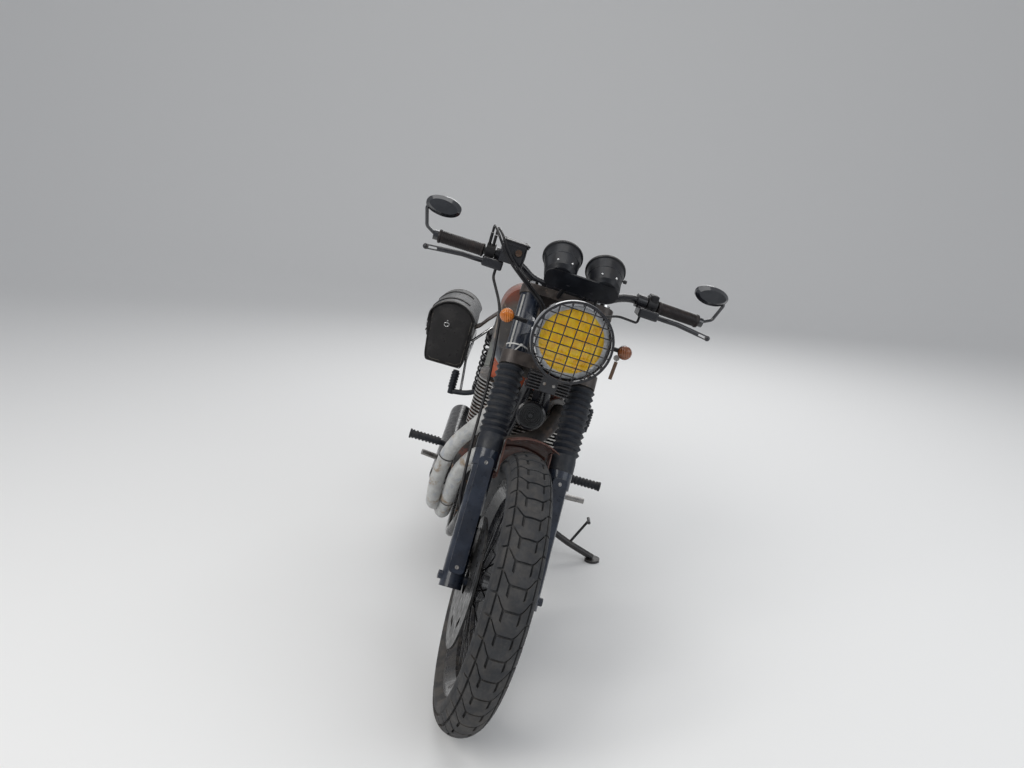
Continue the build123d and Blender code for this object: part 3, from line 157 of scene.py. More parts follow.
def placed(obj, matrix):
    obj.data.transform(matrix)
    return obj


def drawnPiece(name, points, edges, faces):
    # A piece whose points and faces are drawn here, in place of the primitive's own
    clearSelection()
    bpy.ops.mesh.primitive_circle_add(vertices=3)
    obj = bpy.context.active_object
    obj.name = name
    obj.data.clear_geometry()
    obj.data.from_pydata(points, edges, faces)
    return obj


def lathed(name, profile, steps=48):
    # Spins a profile of (radius, height) round Z
    obj = drawnPiece(name, [(r, 0, z) for r, z in profile], [(i, i + 1) for i in range(len(profile) - 1)], [])
    startEdit(obj)
    bpy.ops.mesh.spin(steps=steps, angle=math.tau, center=(0, 0, 0), axis=(0, 0, 1))
    endEdit()
    tidyNormals(obj, 0.005)
    return obj


def ringPiece(name, inner, outer, low, high, steps):
    return lathed(name, [(inner, low), (outer, low), (outer, high), (inner, high), (inner, low)], steps)


def boxPiece(name, low, high, bevel=1.0, segments=2):
    clearSelection()
    bpy.ops.mesh.primitive_cube_add(size=1, location=[(a + b) / 2 for a, b in zip(low, high)],
                                    scale=[b - a for a, b in zip(low, high)])
    obj = bpy.context.active_object
    obj.name = name
    bpy.ops.object.transform_apply(location=True, rotation=True, scale=True)
    if bevel:
        addBevel(obj, bevel, segments)
    return obj


def rodPiece(sides, radius, depth, location=(0, 0, 0), rotation=(0, 0, 0)):
    clearSelection()
    bpy.ops.mesh.primitive_cylinder_add(vertices=sides, radius=radius, depth=depth, location=location,
                                        rotation=rotation)
    bpy.ops.object.transform_apply(location=True, rotation=True)
    return bpy.context.active_object


def tubePiece(name, points, radius, closed=False):
    # A smooth round cord or wire through control points
    curve = bpy.data.curves.new(name, "CURVE")
    curve.dimensions = "3D"
    curve.bevel_depth = radius
    curve.bevel_resolution = 5
    curve.use_fill_caps = True
    spline = curve.splines.new("NURBS")
    spline.points.add(len(points) - 1)
    for spot, point in zip(spline.points, points):
        spot.co = (*point, 1)
    spline.order_u = 3
    spline.use_endpoint_u = not closed
    spline.use_cyclic_u = closed
    spline.resolution_u = 8
    obj = bpy.data.objects.new(name, curve)
    bpy.context.collection.objects.link(obj)
    useOnly(obj)
    bpy.ops.object.convert(target="MESH")
    return bpy.context.active_object


def facing(place, direction, roll=0.0):
    # Matrix that sets a piece drawn up Z at a place, pointing along a direction
    way = Vector(direction).normalized()
    return moved(Vector(place)) @ way.to_track_quat("Z", "Y").to_matrix().to_4x4() @ turned(roll, "Z")


# Stage: floor that curves up behind, soft lamps, and the camera where the photograph was taken
stageSet = {"floorColor": (0.83, 0.83, 0.82), "halfWidth": 14.0, "front": -9.0, "back": 9.0, "rise": 7.0, "bend": 3.5,
            "bendSteps": 12, "worldColor": (0.93, 0.95, 1.0), "worldStrength": 0.42}


def makeStage():
    bend, foot = stageSet["bend"], stageSet["back"] - stageSet["bend"]
    profile = [(stageSet["front"], 0.0), (foot, 0.0)]
    for index in range(1, stageSet["bendSteps"] + 1):
        angle = math.radians(90 * index / stageSet["bendSteps"])
        profile.append((foot + bend * math.sin(angle), bend * (1 - math.cos(angle))))
    profile.append((stageSet["back"], stageSet["rise"]))
    points = [(side * stageSet["halfWidth"], y, z) for y, z in profile for side in (-1, 1)]
    faces = [(row, row + 1, row + 3, row + 2) for row in range(0, len(points) - 2, 2)]
    floor = drawnPiece("studioFloor", points, [], faces)
    useOnly(floor)
    bpy.ops.object.shade_smooth()
    paper = bpy.data.materials.new("studioPaper")
    paper.use_nodes = True
    shader = paper.node_tree.nodes["Principled BSDF"]
    shader.inputs["Base Color"].default_value = (*stageSet["floorColor"], 1)
    shader.inputs["Roughness"].default_value = 0.85
    shader.inputs["Specular IOR Level"].default_value = 0.2
    floor.data.materials.append(paper)


studioLamps = {
    "keyLight": {"place": (-2.6, -3.4, 3.6), "aim": (0, 0, 0.6), "size": 2.6, "power": 100, "color": (1, 0.98, 0.95)},
    "fillLight": {"place": (3.4, -2.6, 2.2), "aim": (0, 0, 0.6), "size": 3.0, "power": 44, "color": (0.94, 0.97, 1)},
    "backLight": {"place": (0.8, 3.6, 3.4), "aim": (0, 0, 0.8), "size": 2.6, "power": 62, "color": (1, 1, 1)},
    "topLight": {"place": (0, -0.2, 4.2), "aim": (0, 0, 0), "size": 3.0, "power": 36, "color": (1, 1, 1)},
}


def makeStudioLamps():
    for name, spec in studioLamps.items():
        lamp = bpy.data.lights.new(name, "AREA")
        lamp.shape = "SQUARE"
        lamp.size = spec["size"]
        lamp.energy = spec["power"]
        lamp.color = spec["color"]
        obj = bpy.data.objects.new(name, lamp)
        bpy.context.collection.objects.link(obj)
        obj.location = spec["place"]
        obj.rotation_euler = (Vector(spec["aim"]) - Vector(spec["place"])).to_track_quat("-Z", "Y").to_euler()
    world = bpy.data.worlds.new("studioWorld")
    bpy.context.scene.world = world
    world.use_nodes = True
    background = world.node_tree.nodes["Background"]
    background.inputs["Color"].default_value = (*stageSet["worldColor"], 1)
    background.inputs["Strength"].default_value = stageSet["worldStrength"]


cameraSet = {"place": (134.3, -1756.6, 1230.1), "yaw": 1.0, "pitch": 13.3, "roll": 3.2, "lens": 28.79, "far": 60}


def makeCamera():
    camera = bpy.data.cameras.new("photoCamera")
    camera.lens = cameraSet["lens"]
    camera.sensor_width = 36
    camera.clip_end = cameraSet["far"]
    obj = bpy.data.objects.new("photoCamera", camera)
    bpy.context.collection.objects.link(obj)
    yaw, pitch, roll = (math.radians(cameraSet[key]) for key in ("yaw", "pitch", "roll"))
    turn = Matrix.Rotation(yaw, 3, "Z")
    forward = turn @ Vector((0, math.cos(pitch), -math.sin(pitch)))
    right = turn @ Vector((1, 0, 0))
    up = right.cross(forward)
    side = right * math.cos(roll) + up * math.sin(roll)
    top = up * math.cos(roll) - right * math.sin(roll)
    place = (Vector(cameraSet["place"]) + Vector(park["shift"])) / 1000
    obj.matrix_world = Matrix([(side[i], top[i], -forward[i], place[i]) for i in range(3)] + [(0, 0, 0, 1)])
    bpy.context.scene.camera = obj
    bpy.context.scene.view_settings.view_transform = "Standard"


makeStage()
makeStudioLamps()
makeCamera()
print("stage set")

# Shader nodes: inputs are set to a number or colour, or linked to another node's output
finish = {}


def newNode(tree, kind, inputs, output=0, **settings):
    node = tree.nodes.new("ShaderNode" + kind)
    for key, value in settings.items():
        setattr(node, key, value)
    for socket, value in inputs.items():
        if isinstance(value, bpy.types.NodeSocket):
            tree.links.new(value, node.inputs[socket])
        elif value is not None:
            node.inputs[socket].default_value = value
    return node.outputs[output]


def objectSpot(tree):
    return newNode(tree, "TexCoord", {}, "Object")


def noiseNode(tree, scale, detail, rough, distortion, spot):
    return newNode(tree, "TexNoise", {"Scale": scale, "Detail": detail, "Roughness": rough, "Distortion": distortion,
                                      "Vector": spot}, "Fac")


def mathNode(tree, operation, first, second, clamp=False):
    return newNode(tree, "Math", {0: first, 1: second}, operation=operation, use_clamp=clamp)


def rangeNode(tree, value, low, high, outLow=0.0, outHigh=1.0, smooth=True):
    inputs = {"Value": value, "From Min": low, "From Max": high, "To Min": outLow, "To Max": outHigh}
    return newNode(tree, "MapRange", inputs, "Result", interpolation_type="SMOOTHSTEP" if smooth else "LINEAR")


def colorMix(tree, factor, first, second):
    pair = [(*shade, 1) if isinstance(shade, tuple) else shade for shade in (first, second)]
    return newNode(tree, "Mix", {0: factor, 6: pair[0], 7: pair[1]}, 2, data_type="RGBA")


def addBump(tree, shader, height, strength, distance):
    bump = newNode(tree, "Bump", {"Strength": strength, "Distance": distance, "Height": height}, "Normal")
    tree.links.new(bump, shader.inputs["Normal"])


def newMaterial(name, values):
    made = bpy.data.materials.new(name)
    made.use_nodes = True
    shader = made.node_tree.nodes["Principled BSDF"]
    for label, value in values.items():
        shader.inputs[label].default_value = value
    finish[name] = made
    return made.node_tree, shader


# Node groups that several finishes share: each puts out only masks, tones or heights
def newGroup(name, inputs, outputs):
    group = bpy.data.node_groups.new(name, "ShaderNodeTree")
    for label, value in inputs.items():
        group.interface.new_socket(name=label, in_out="INPUT", socket_type="NodeSocketFloat").default_value = value
    for label in outputs:
        group.interface.new_socket(name=label, in_out="OUTPUT", socket_type="NodeSocketFloat")
    enter, leave = group.nodes.new("NodeGroupInput"), group.nodes.new("NodeGroupOutput")
    return group, enter.outputs, leave.inputs, objectSpot(group)


def makePatchGroup():
    # Worn patches: where noise passes a level, with soft broken borders
    group, enter, leave, spot = newGroup("wornPatches", {"Scale": 20.0, "Level": 0.55, "Softness": 0.06}, ["Mask"])
    big = noiseNode(group, enter["Scale"], 5, 0.62, 0.4, spot)
    fine = noiseNode(group, mathNode(group, "MULTIPLY", enter["Scale"], 9.0), 3, 0.6, 0, spot)
    whole = mathNode(group, "ADD", mathNode(group, "MULTIPLY", big, 0.8), mathNode(group, "MULTIPLY", fine, 0.2))
    high = mathNode(group, "ADD", enter["Level"], enter["Softness"])
    group.links.new(rangeNode(group, whole, enter["Level"], high), leave["Mask"])
    return group


def makeGrainGroup():
    # Fine grain and larger waviness as a height
    group, enter, leave, spot = newGroup("surfaceGrain", {"Fine Scale": 900.0, "Wave Scale": 60.0, "Wave Share": 0.3},
                                         ["Height", "Tone"])
    fine = noiseNode(group, enter["Fine Scale"], 2, 0.5, 0, spot)
    wave = noiseNode(group, enter["Wave Scale"], 3, 0.5, 0, spot)
    rest = mathNode(group, "SUBTRACT", 1.0, enter["Wave Share"])
    height = mathNode(group, "ADD", mathNode(group, "MULTIPLY", fine, rest),
                      mathNode(group, "MULTIPLY", wave, enter["Wave Share"]))
    group.links.new(height, leave["Height"])
    group.links.new(wave, leave["Tone"])
    return group


def makeDustGroup():
    # Dust lies on faces that look up and low on the machine
    group, enter, leave, spot = newGroup("dustFall", {"Amount": 0.5, "Low Height": 0.5}, ["Mask"])
    height = newNode(group, "SeparateXYZ", {0: spot}, "Z")
    lookUp = newNode(group, "SeparateXYZ", {0: newNode(group, "NewGeometry", {}, "Normal")}, "Z")
    upward = rangeNode(group, lookUp, 0.1, 0.95, 0.0, 0.6)
    low = rangeNode(group, height, enter["Low Height"], 0.0, 0.0, 0.75)
    broken = rangeNode(group, noiseNode(group, 38.0, 5, 0.62, 0.3, spot), 0.36, 0.66, 0.25, 1.0)
    gather = mathNode(group, "MULTIPLY", mathNode(group, "ADD", upward, low), broken)
    group.links.new(mathNode(group, "MULTIPLY", gather, enter["Amount"], clamp=True), leave["Mask"])
    return group


def makeEdgeGroup():
    # Worn edges: where a rounded normal departs from the true one, broken up by noise
    group, enter, leave, spot = newGroup("edgeWear", {"Amount": 0.8, "Level": 0.97}, ["Mask"])
    rounded = newNode(group, "Bevel", {"Radius": 0.0016}, "Normal", samples=4)
    match = newNode(group, "VectorMath", {0: rounded, 1: newNode(group, "NewGeometry", {}, "Normal")}, "Value",
                    operation="DOT_PRODUCT")
    edge = rangeNode(group, match, enter["Level"], 0.82)
    broken = rangeNode(group, noiseNode(group, 85.0, 4, 0.6, 0, spot), 0.44, 0.60)
    gather = mathNode(group, "MULTIPLY", edge, broken)
    group.links.new(mathNode(group, "MULTIPLY", gather, enter["Amount"], clamp=True), leave["Mask"])
    return group


patchGroup = makePatchGroup()
grainGroup = makeGrainGroup()
dustGroup = makeDustGroup()
edgeGroup = makeEdgeGroup()


def placeGroup(tree, group, *values):
    node = tree.nodes.new("ShaderNodeGroup")
    node.node_tree = group
    for socket, value in zip(node.inputs, values):
        socket.default_value = value
    return node.outputs


def patchMask(tree, scale, level, softness):
    return placeGroup(tree, patchGroup, scale, level, softness)["Mask"]


finishSet = {"patch": (18.0, 0.5, 0.12), "spots": (70.0, 0.6, 0.04), "grain": (900.0, 60.0, 0.3), "shade": 0.78,
             "dustColor": (0.36, 0.30, 0.23), "dustRough": 0.35, "wearLevel": 0.97, "coatRough": 0.12,
             "bumpReach": 0.001}


def addFinish(name, color, second=None, third=None, metallic=0.0, rough=0.5, roughSpread=0.15, patch=None, spots=None,
              grain=None, bump=0.15, dust=0.35, lowHeight=0.45, edge=None, coat=None, build=None, sheen=0.0, gloss=0.5):
    # Base colour with patches and spots, edge wear (amount, colour, metal), dust, grain bump and varied roughness
    tree, shader = newMaterial(name, {"Specular IOR Level": gloss, "Metallic": metallic, "Sheen Weight": sheen})
    grainOut = placeGroup(tree, grainGroup, *(grain or finishSet["grain"]))
    tone = grainOut["Tone"]
    shade = tuple(part * finishSet["shade"] for part in color)
    paint = colorMix(tree, rangeNode(tree, tone, 0.3, 0.7), shade, color)
    for layer, mask in ((second, patch or finishSet["patch"]), (third, spots or finishSet["spots"])):
        if layer:
            paint = colorMix(tree, patchMask(tree, *mask), paint, layer)
    if build:
        paint = build(tree, paint, shader)
    roughness = rangeNode(tree, tone, 0.3, 0.7, max(rough - roughSpread, 0.04), min(rough + roughSpread, 1.0),
                          smooth=False)
    if edge:
        wear = placeGroup(tree, edgeGroup, edge[0], finishSet["wearLevel"])["Mask"]
        paint = colorMix(tree, wear, paint, edge[1])
        if len(edge) > 2:
            metal = rangeNode(tree, wear, 0.0, 1.0, metallic, edge[2], smooth=False)
            tree.links.new(metal, shader.inputs["Metallic"])
    if dust:
        fallen = placeGroup(tree, dustGroup, dust, lowHeight)["Mask"]
        paint = colorMix(tree, fallen, paint, finishSet["dustColor"])
        added = mathNode(tree, "MULTIPLY", fallen, finishSet["dustRough"])
        roughness = mathNode(tree, "ADD", roughness, added, clamp=True)
    tree.links.new(paint, shader.inputs["Base Color"])
    tree.links.new(roughness, shader.inputs["Roughness"])
    if coat:
        shader.inputs["Coat Weight"].default_value = coat
        shader.inputs["Coat Roughness"].default_value = finishSet["coatRough"]
    if bump:
        addBump(tree, shader, grainOut["Height"], bump, finishSet["bumpReach"])


leatherSet = {"grooveWide": 0.16, "creaseScale": 0.09, "creaseHigh": 2.4, "wrinkle": 0.3, "depth": 0.0012,
              "shadeWide": 0.1, "shade": 0.55, "grooveColor": (0.012, 0.010, 0.009)}


def leatherBump(scale, strength):
    # Pebbled hide: cells with rounded tops and a few longer creases
    def build(tree, paint, shader):
        spot = objectSpot(tree)
        cells = newNode(tree, "TexVoronoi", {"Scale": scale, "Vector": spot}, "Distance", feature="DISTANCE_TO_EDGE")
        grooves = rangeNode(tree, cells, 0.0, leatherSet["grooveWide"])
        crease = noiseNode(tree, scale * leatherSet["creaseScale"], 5, 0.62, 1.2, spot)
        wrinkle = leatherSet["wrinkle"]
        height = mathNode(tree, "ADD", mathNode(tree, "MULTIPLY", grooves, 1 - wrinkle),
                          mathNode(tree, "MULTIPLY", crease, wrinkle * leatherSet["creaseHigh"]))
        addBump(tree, shader, height, strength, leatherSet["depth"])
        between = rangeNode(tree, cells, 0.0, leatherSet["shadeWide"], leatherSet["shade"], 0.0)
        return colorMix(tree, between, paint, leatherSet["grooveColor"])
    return build


tankSet = {"sway": 0.22, "top": (0.895, 0.975), "low": (0.835, 0.775), "mottle": (30.0, 0.50, 0.12),
           "band": ((0.052, 0.048, 0.046), (0.115, 0.098, 0.082)),
           "copper": ((0.27, 0.070, 0.038), (0.15, 0.048, 0.032)),
           "blue": ((0.030, 0.038, 0.050), (0.062, 0.068, 0.076)),
           "flakes": (((12.0, 0.56, 0.04), (0.20, 0.155, 0.115)), ((85.0, 0.60, 0.04), (0.050, 0.034, 0.028)))}
stains = (((13.0, 0.56, 0.03), (0.085, 0.020, 0.015)), ((48.0, 0.58, 0.06), (0.16, 0.075, 0.035)))


def laidOver(tree, paint, layers):
    # Patches of other colours, each with its own mask, laid over the paint one by one
    for mask, color in layers:
        paint = colorMix(tree, patchMask(tree, *mask), paint, color)
    return paint


def tankPatina(tree, paint, shader):
    # Worn tank: copper red along the top, dark grey flanks with a tan mottled patch, blue grey low down
    spot = objectSpot(tree)
    sway = mathNode(tree, "SUBTRACT", noiseNode(tree, 7.0, 6, 0.64, 0.6, spot), 0.5)
    level = mathNode(tree, "ADD", newNode(tree, "SeparateXYZ", {0: spot}, "Z"),
                     mathNode(tree, "MULTIPLY", sway, tankSet["sway"]))
    mottle = patchMask(tree, *tankSet["mottle"])
    band, copper, blue = (colorMix(tree, mottle, *tankSet[key]) for key in ("band", "copper", "blue"))
    paint = colorMix(tree, rangeNode(tree, level, *tankSet["top"]), band, copper)
    paint = colorMix(tree, rangeNode(tree, level, *tankSet["low"]), paint, blue)
    return laidOver(tree, paint, tankSet["flakes"])


def engineStains(tree, paint, shader):
    # Dark red paint left on parts of the covers, and rust
    return laidOver(tree, paint, stains)


tapeSet = {"threads": (("X", 34.0), ("Y", 62.0)), "waver": 0.6, "weave": 0.7, "fray": 0.5, "strength": 0.55,
           "depth": 0.0009, "gaps": (0.25, 0.9, 0.30, 0.0), "gapColor": (0.20, 0.17, 0.14)}


def wrapCloth(tree, paint, shader):
    # Woven tape: two crossed threads with a frayed surface
    chart = newNode(tree, "UVMap", {}, "UV", uv_map="wrapChart")
    waves = [newNode(tree, "TexWave", {"Scale": scale, "Distortion": tapeSet["waver"], "Vector": chart}, "Fac",
                     bands_direction=way) for way, scale in tapeSet["threads"]]
    weave = mathNode(tree, "MAXIMUM", *waves)
    frayed = noiseNode(tree, 420.0, 3, 0.6, 0, objectSpot(tree))
    height = mathNode(tree, "ADD", mathNode(tree, "MULTIPLY", weave, tapeSet["weave"]),
                      mathNode(tree, "MULTIPLY", frayed, tapeSet["fray"]))
    addBump(tree, shader, height, tapeSet["strength"], tapeSet["depth"])
    return colorMix(tree, rangeNode(tree, weave, *tapeSet["gaps"]), paint, tapeSet["gapColor"])


addFinish("tyreRubber", (0.026, 0.029, 0.034), (0.046, 0.047, 0.049), rough=0.74, roughSpread=0.1,
          patch=(22.0, 0.42, 0.25), dust=0.13, lowHeight=0.75, gloss=0.3, grain=(700.0, 45.0, 0.4), bump=0.25)
addFinish("softRubber", (0.014, 0.018, 0.026), (0.024, 0.027, 0.032), rough=0.5, dust=0.13, lowHeight=0.6, bump=0.2,
          gloss=0.3)
addFinish("gripRubber", (0.016, 0.013, 0.014), (0.024, 0.017, 0.016), rough=0.46, dust=0.08, bump=0.3, gloss=0.3)
addFinish("blackEnamel", (0.010, 0.011, 0.015), (0.018, 0.019, 0.024), rough=0.30, coat=0.45, dust=0.10,
          edge=(0.55, (0.20, 0.17, 0.15)), bump=0.08, gloss=0.3)
addFinish("blueBlack", (0.010, 0.016, 0.030), (0.018, 0.026, 0.044), (0.040, 0.032, 0.028), rough=0.34, coat=0.4,
          dust=0.10, spots=(60.0, 0.66, 0.04), edge=(0.6, (0.26, 0.24, 0.22)), bump=0.08, gloss=0.3)
addFinish("castBlack", (0.018, 0.018, 0.020), (0.032, 0.031, 0.031), rough=0.48, dust=0.25, build=engineStains,
          edge=(0.8, (0.40, 0.38, 0.36), 0.85), grain=(1100.0, 160.0, 0.35), bump=0.35, gloss=0.3)
addFinish("coverOrange", (0.42, 0.082, 0.028), (0.31, 0.062, 0.026), (0.10, 0.045, 0.030), rough=0.5, coat=0.1,
          dust=0.2, spots=(60.0, 0.58, 0.05), edge=(0.7, (0.50, 0.36, 0.26)), bump=0.15)
addFinish("chrome", (0.66, 0.66, 0.66), (0.50, 0.46, 0.42), metallic=1.0, rough=0.10, roughSpread=0.05,
          patch=(60.0, 0.60, 0.1), dust=0.06, bump=0.03)
addFinish("steel", (0.36, 0.35, 0.34), (0.22, 0.17, 0.13), metallic=0.9, rough=0.32, dust=0.16,
          patch=(70.0, 0.58, 0.08), bump=0.1)
addFinish("discSteel", (0.070, 0.071, 0.074), (0.050, 0.044, 0.040), metallic=0.8, rough=0.36, dust=0.15,
          patch=(50.0, 0.55, 0.1), bump=0.08)
addFinish("blackSteel", (0.030, 0.028, 0.028), (0.060, 0.045, 0.038), metallic=0.5, rough=0.5, dust=0.2, bump=0.2,
          gloss=0.3)
addFinish("castAluminium", (0.36, 0.35, 0.34), (0.22, 0.20, 0.18), metallic=0.75, rough=0.45, dust=0.25,
          grain=(1300.0, 120.0, 0.35), bump=0.3)
addFinish("brownFender", (0.105, 0.040, 0.030), (0.062, 0.030, 0.025), (0.16, 0.085, 0.06), rough=0.38, coat=0.2,
          patch=(9.0, 0.47, 0.2), spots=(55.0, 0.63, 0.05), dust=0.14, lowHeight=0.5, edge=(0.6, (0.28, 0.19, 0.14)),
          bump=0.1)
addFinish("panelGrey", (0.150, 0.160, 0.145), (0.105, 0.116, 0.108), (0.22, 0.20, 0.17), rough=0.42, coat=0.15,
          patch=(9.0, 0.48, 0.2), spots=(50.0, 0.64, 0.04), dust=0.12, edge=(0.7, (0.34, 0.30, 0.24)), bump=0.1)
addFinish("tankPaint", (0.10, 0.09, 0.08), rough=0.42, roughSpread=0.14, build=tankPatina, coat=0.2, dust=0.06,
          edge=(0.4, (0.30, 0.25, 0.20)), bump=0.16)
addFinish("yokeMetal", (0.060, 0.050, 0.046), (0.035, 0.031, 0.030), (0.12, 0.09, 0.07), metallic=0.3, rough=0.42,
          dust=0.15, edge=(0.8, (0.36, 0.32, 0.28), 0.8), bump=0.25)
addFinish("blackPlastic", (0.013, 0.013, 0.015), (0.022, 0.022, 0.023), rough=0.40, dust=0.10,
          grain=(1500.0, 90.0, 0.2), bump=0.15, gloss=0.3)
addFinish("glossBlack", (0.008, 0.010, 0.014), (0.014, 0.016, 0.020), rough=0.16, roughSpread=0.06, coat=0.8,
          dust=0.04, bump=0.03)
addFinish("gaugeBlack", (0.007, 0.008, 0.011), (0.012, 0.014, 0.018), rough=0.38, roughSpread=0.08, coat=0.1,
          dust=0.05, gloss=0.3, bump=0.05)
addFinish("bagLeather", (0.020, 0.019, 0.020), (0.034, 0.032, 0.032), rough=0.40, dust=0.08,
          build=leatherBump(420.0, 0.5), bump=0, gloss=0.3)
# Pannier lid: the bag's black leather painted lighter grey, a painted sheen of sky light on its top
addFinish("lidLeatherPaintedSheen", (0.100, 0.102, 0.106), (0.065, 0.065, 0.067), rough=0.36, dust=0.10,
          build=leatherBump(420.0, 0.45), bump=0)
addFinish("seatLeather", (0.072, 0.050, 0.040), (0.044, 0.033, 0.028), rough=0.42, dust=0.08,
          build=leatherBump(380.0, 0.5), bump=0, gloss=0.3)
addFinish("cableBlack", (0.011, 0.011, 0.013), (0.020, 0.020, 0.021), rough=0.36, dust=0.08, bump=0.12, gloss=0.3)
addFinish("wrapCloth", (0.60, 0.61, 0.60), (0.31, 0.24, 0.17), (0.43, 0.46, 0.50), rough=0.85, roughSpread=0.05,
          patch=(17.0, 0.505, 0.12), spots=(44.0, 0.54, 0.1), dust=0.3, lowHeight=0.4, build=wrapCloth, bump=0,
          sheen=0.15)
addFinish("thread", (0.34, 0.31, 0.26), (0.20, 0.18, 0.15), rough=0.8, dust=0.2, bump=0.2)
addFinish("machinedEdge", (0.50, 0.49, 0.47), (0.20, 0.18, 0.16), metallic=0.85, rough=0.32, patch=(26.0, 0.52, 0.1),
          dust=0.15, bump=0.1)
addFinish("dialFace", (0.018, 0.018, 0.020), (0.026, 0.026, 0.028), rough=0.55, dust=0, bump=0.1)
addFinish("mirrorGlass", (0.80, 0.82, 0.84), (0.70, 0.72, 0.74), metallic=1.0, rough=0.03, roughSpread=0.02,
          dust=0.05, bump=0)
addFinish("hornGrey", (0.085, 0.090, 0.095), (0.055, 0.056, 0.060), metallic=0.4, rough=0.4, dust=0.15, bump=0.15)
addFinish("tagLeather", (0.155, 0.085, 0.045), (0.10, 0.055, 0.032), rough=0.55, dust=0.1,
          build=leatherBump(500.0, 0.4), bump=0)
addFinish("paleNylon", (0.62, 0.62, 0.60), (0.52, 0.51, 0.48), rough=0.45, dust=0.1, bump=0.05)
# Painted reflection highlights: cream and gold strips that stand for light caught along the glossy black fork tubes
addFinish("creamPaintedHighlight", (0.40, 0.40, 0.38), (0.22, 0.21, 0.19), rough=0.45, dust=0.1, bump=0.08)
addFinish("goldPaintedHighlight", (0.30, 0.20, 0.085), (0.14, 0.09, 0.05), rough=0.45, dust=0.1, bump=0.08)
addFinish("dialPaint", (0.72, 0.72, 0.68), (0.576, 0.576, 0.544), rough=0.5, dust=0.05, bump=0.05)
addFinish("needleRed", (0.62, 0.10, 0.03), (0.496, 0.08, 0.024), rough=0.5, dust=0.05, bump=0.05)

lensSet = {"place": (0, 82.0, 932.0), "clearFrom": 0.0765, "clearEdge": 0.003, "clearColor": (0.62, 0.65, 0.68),
           "rough": (0.096, 0.224)}


def addLens(name, tint, deep, flutes=0.0, clearRim=False):
    # Moulded lamp plastic: tinted, with ribs moulded in, and an untinted rim where one is asked for
    tree, shader = newMaterial(name, {"Transmission Weight": 0.3, "IOR": 1.46, "Coat Weight": 0.6,
                                      "Coat Roughness": 0.06})
    spot = objectSpot(tree)
    cloud = noiseNode(tree, 60.0, 3, 0.5, 0, spot)
    paint = colorMix(tree, rangeNode(tree, cloud, 0.3, 0.7), deep, tint)
    if clearRim:
        steer = parkedMatrix("steering")
        axis = (steer.to_3x3() @ Vector((0, -1, 0))).normalized()
        away = newNode(tree, "VectorMath", {0: spot, 1: steer @ Vector(lensSet["place"])}, operation="SUBTRACT")
        cross = newNode(tree, "VectorMath", {0: away, 1: axis}, operation="CROSS_PRODUCT")
        span = newNode(tree, "VectorMath", {0: cross}, "Value", operation="LENGTH")
        wobble = mathNode(tree, "MULTIPLY", noiseNode(tree, 40.0, 2, 0.5, 0, spot), 0.006)
        clear = rangeNode(tree, mathNode(tree, "ADD", span, wobble), lensSet["clearFrom"],
                          lensSet["clearFrom"] + lensSet["clearEdge"])
        paint = colorMix(tree, clear, paint, lensSet["clearColor"])
    tree.links.new(paint, shader.inputs["Base Color"])
    tree.links.new(rangeNode(tree, cloud, 0.3, 0.7, *lensSet["rough"]), shader.inputs["Roughness"])
    if flutes:
        wave = newNode(tree, "TexWave", {"Scale": flutes, "Distortion": 0.2, "Vector": spot}, "Fac",
                       bands_direction="X")
        blocks = newNode(tree, "TexVoronoi", {"Scale": 42.0, "Randomness": 0.55, "Vector": spot}, "Distance",
                         distance="CHEBYCHEV")
        addBump(tree, shader, mathNode(tree, "ADD", wave, mathNode(tree, "MULTIPLY", blocks, 0.9)), 0.7, 0.0016)


def addPane(name, tint=(0.92, 0.95, 0.96)):
    # Clear glass with faint smears
    tree, shader = newMaterial(name, {"Transmission Weight": 1.0, "IOR": 1.45})
    smear = noiseNode(tree, 45.0, 4, 0.6, 1.5, objectSpot(tree))
    tree.links.new(colorMix(tree, smear, tint, tuple(part * 0.94 for part in tint)), shader.inputs["Base Color"])
    tree.links.new(rangeNode(tree, smear, 0.35, 0.75, 0.01, 0.10), shader.inputs["Roughness"])


addLens("lensGlass", (1.0, 0.67, 0.005), (0.95, 0.50, 0.004), 16.0, clearRim=True)
addLens("amberLens", (0.85, 0.26, 0.02), (0.60, 0.15, 0.01), 60.0)
addLens("amberDull", (0.34, 0.10, 0.02), (0.22, 0.06, 0.015), 60.0)
addLens("sightAmber", (0.11, 0.045, 0.012), (0.06, 0.025, 0.008))
addLens("redLens", (0.50, 0.012, 0.010), (0.30, 0.008, 0.008), 50.0)
addPane("clearPane")
print("finishes made")

# Which solids of the frame each finish goes on
nodeFinish = {
    "bagLeather": ["pannier_bag"],
    "blackEnamel": ["brake_lever", "clutch_lever", "frame_cradle", "frame_spine", "front_rim", "handlebar",
                    "headlamp_grille", "horn", "rear_fender", "rear_rim", "regulator", "shocks", "side_stand",
                    "silencer", "subframe", "swingarm", "tail_lamp"],
    "blackPlastic": ["front_indicators", "switchgear"],
    "blueBlack": ["fork_sliders", "headlamp_bowl", "lamp_ears"],
    "brownFender": ["front_fender"],
    "cableBlack": ["control_cables"],
    "castAluminium": ["brake_caliper", "carburettors"],
    "castBlack": ["barrel", "crankcase", "cylinder_head", "header_pipes"],
    "chrome": ["fork_tubes", "fuel_cap", "headlamp_rim", "pannier_rack"],
    "coverOrange": ["cam_cover"],
    "discSteel": ["front_disc"],
    "gaugeBlack": ["gauges"],
    "glossBlack": ["bar_mirrors"],
    "gripRubber": ["grips"],
    "lensGlass": ["headlamp_lens"],
    # the lid's lighter grey is painted sheen on black leather
    "lidLeatherPaintedSheen": ["pannier_lid"],
    "panelGrey": ["side_panels"],
    "seatLeather": ["pannier_yoke", "seat"],
    "softRubber": ["footrests", "fork_gaiters"],
    "steel": ["drive_chain", "foot_levers", "rear_axle", "rear_drive"],
    "tankPaint": ["fuel_tank"],
    "tyreRubber": ["front_tyre", "rear_tyre"],
    "yokeMetal": ["yokes"],
}
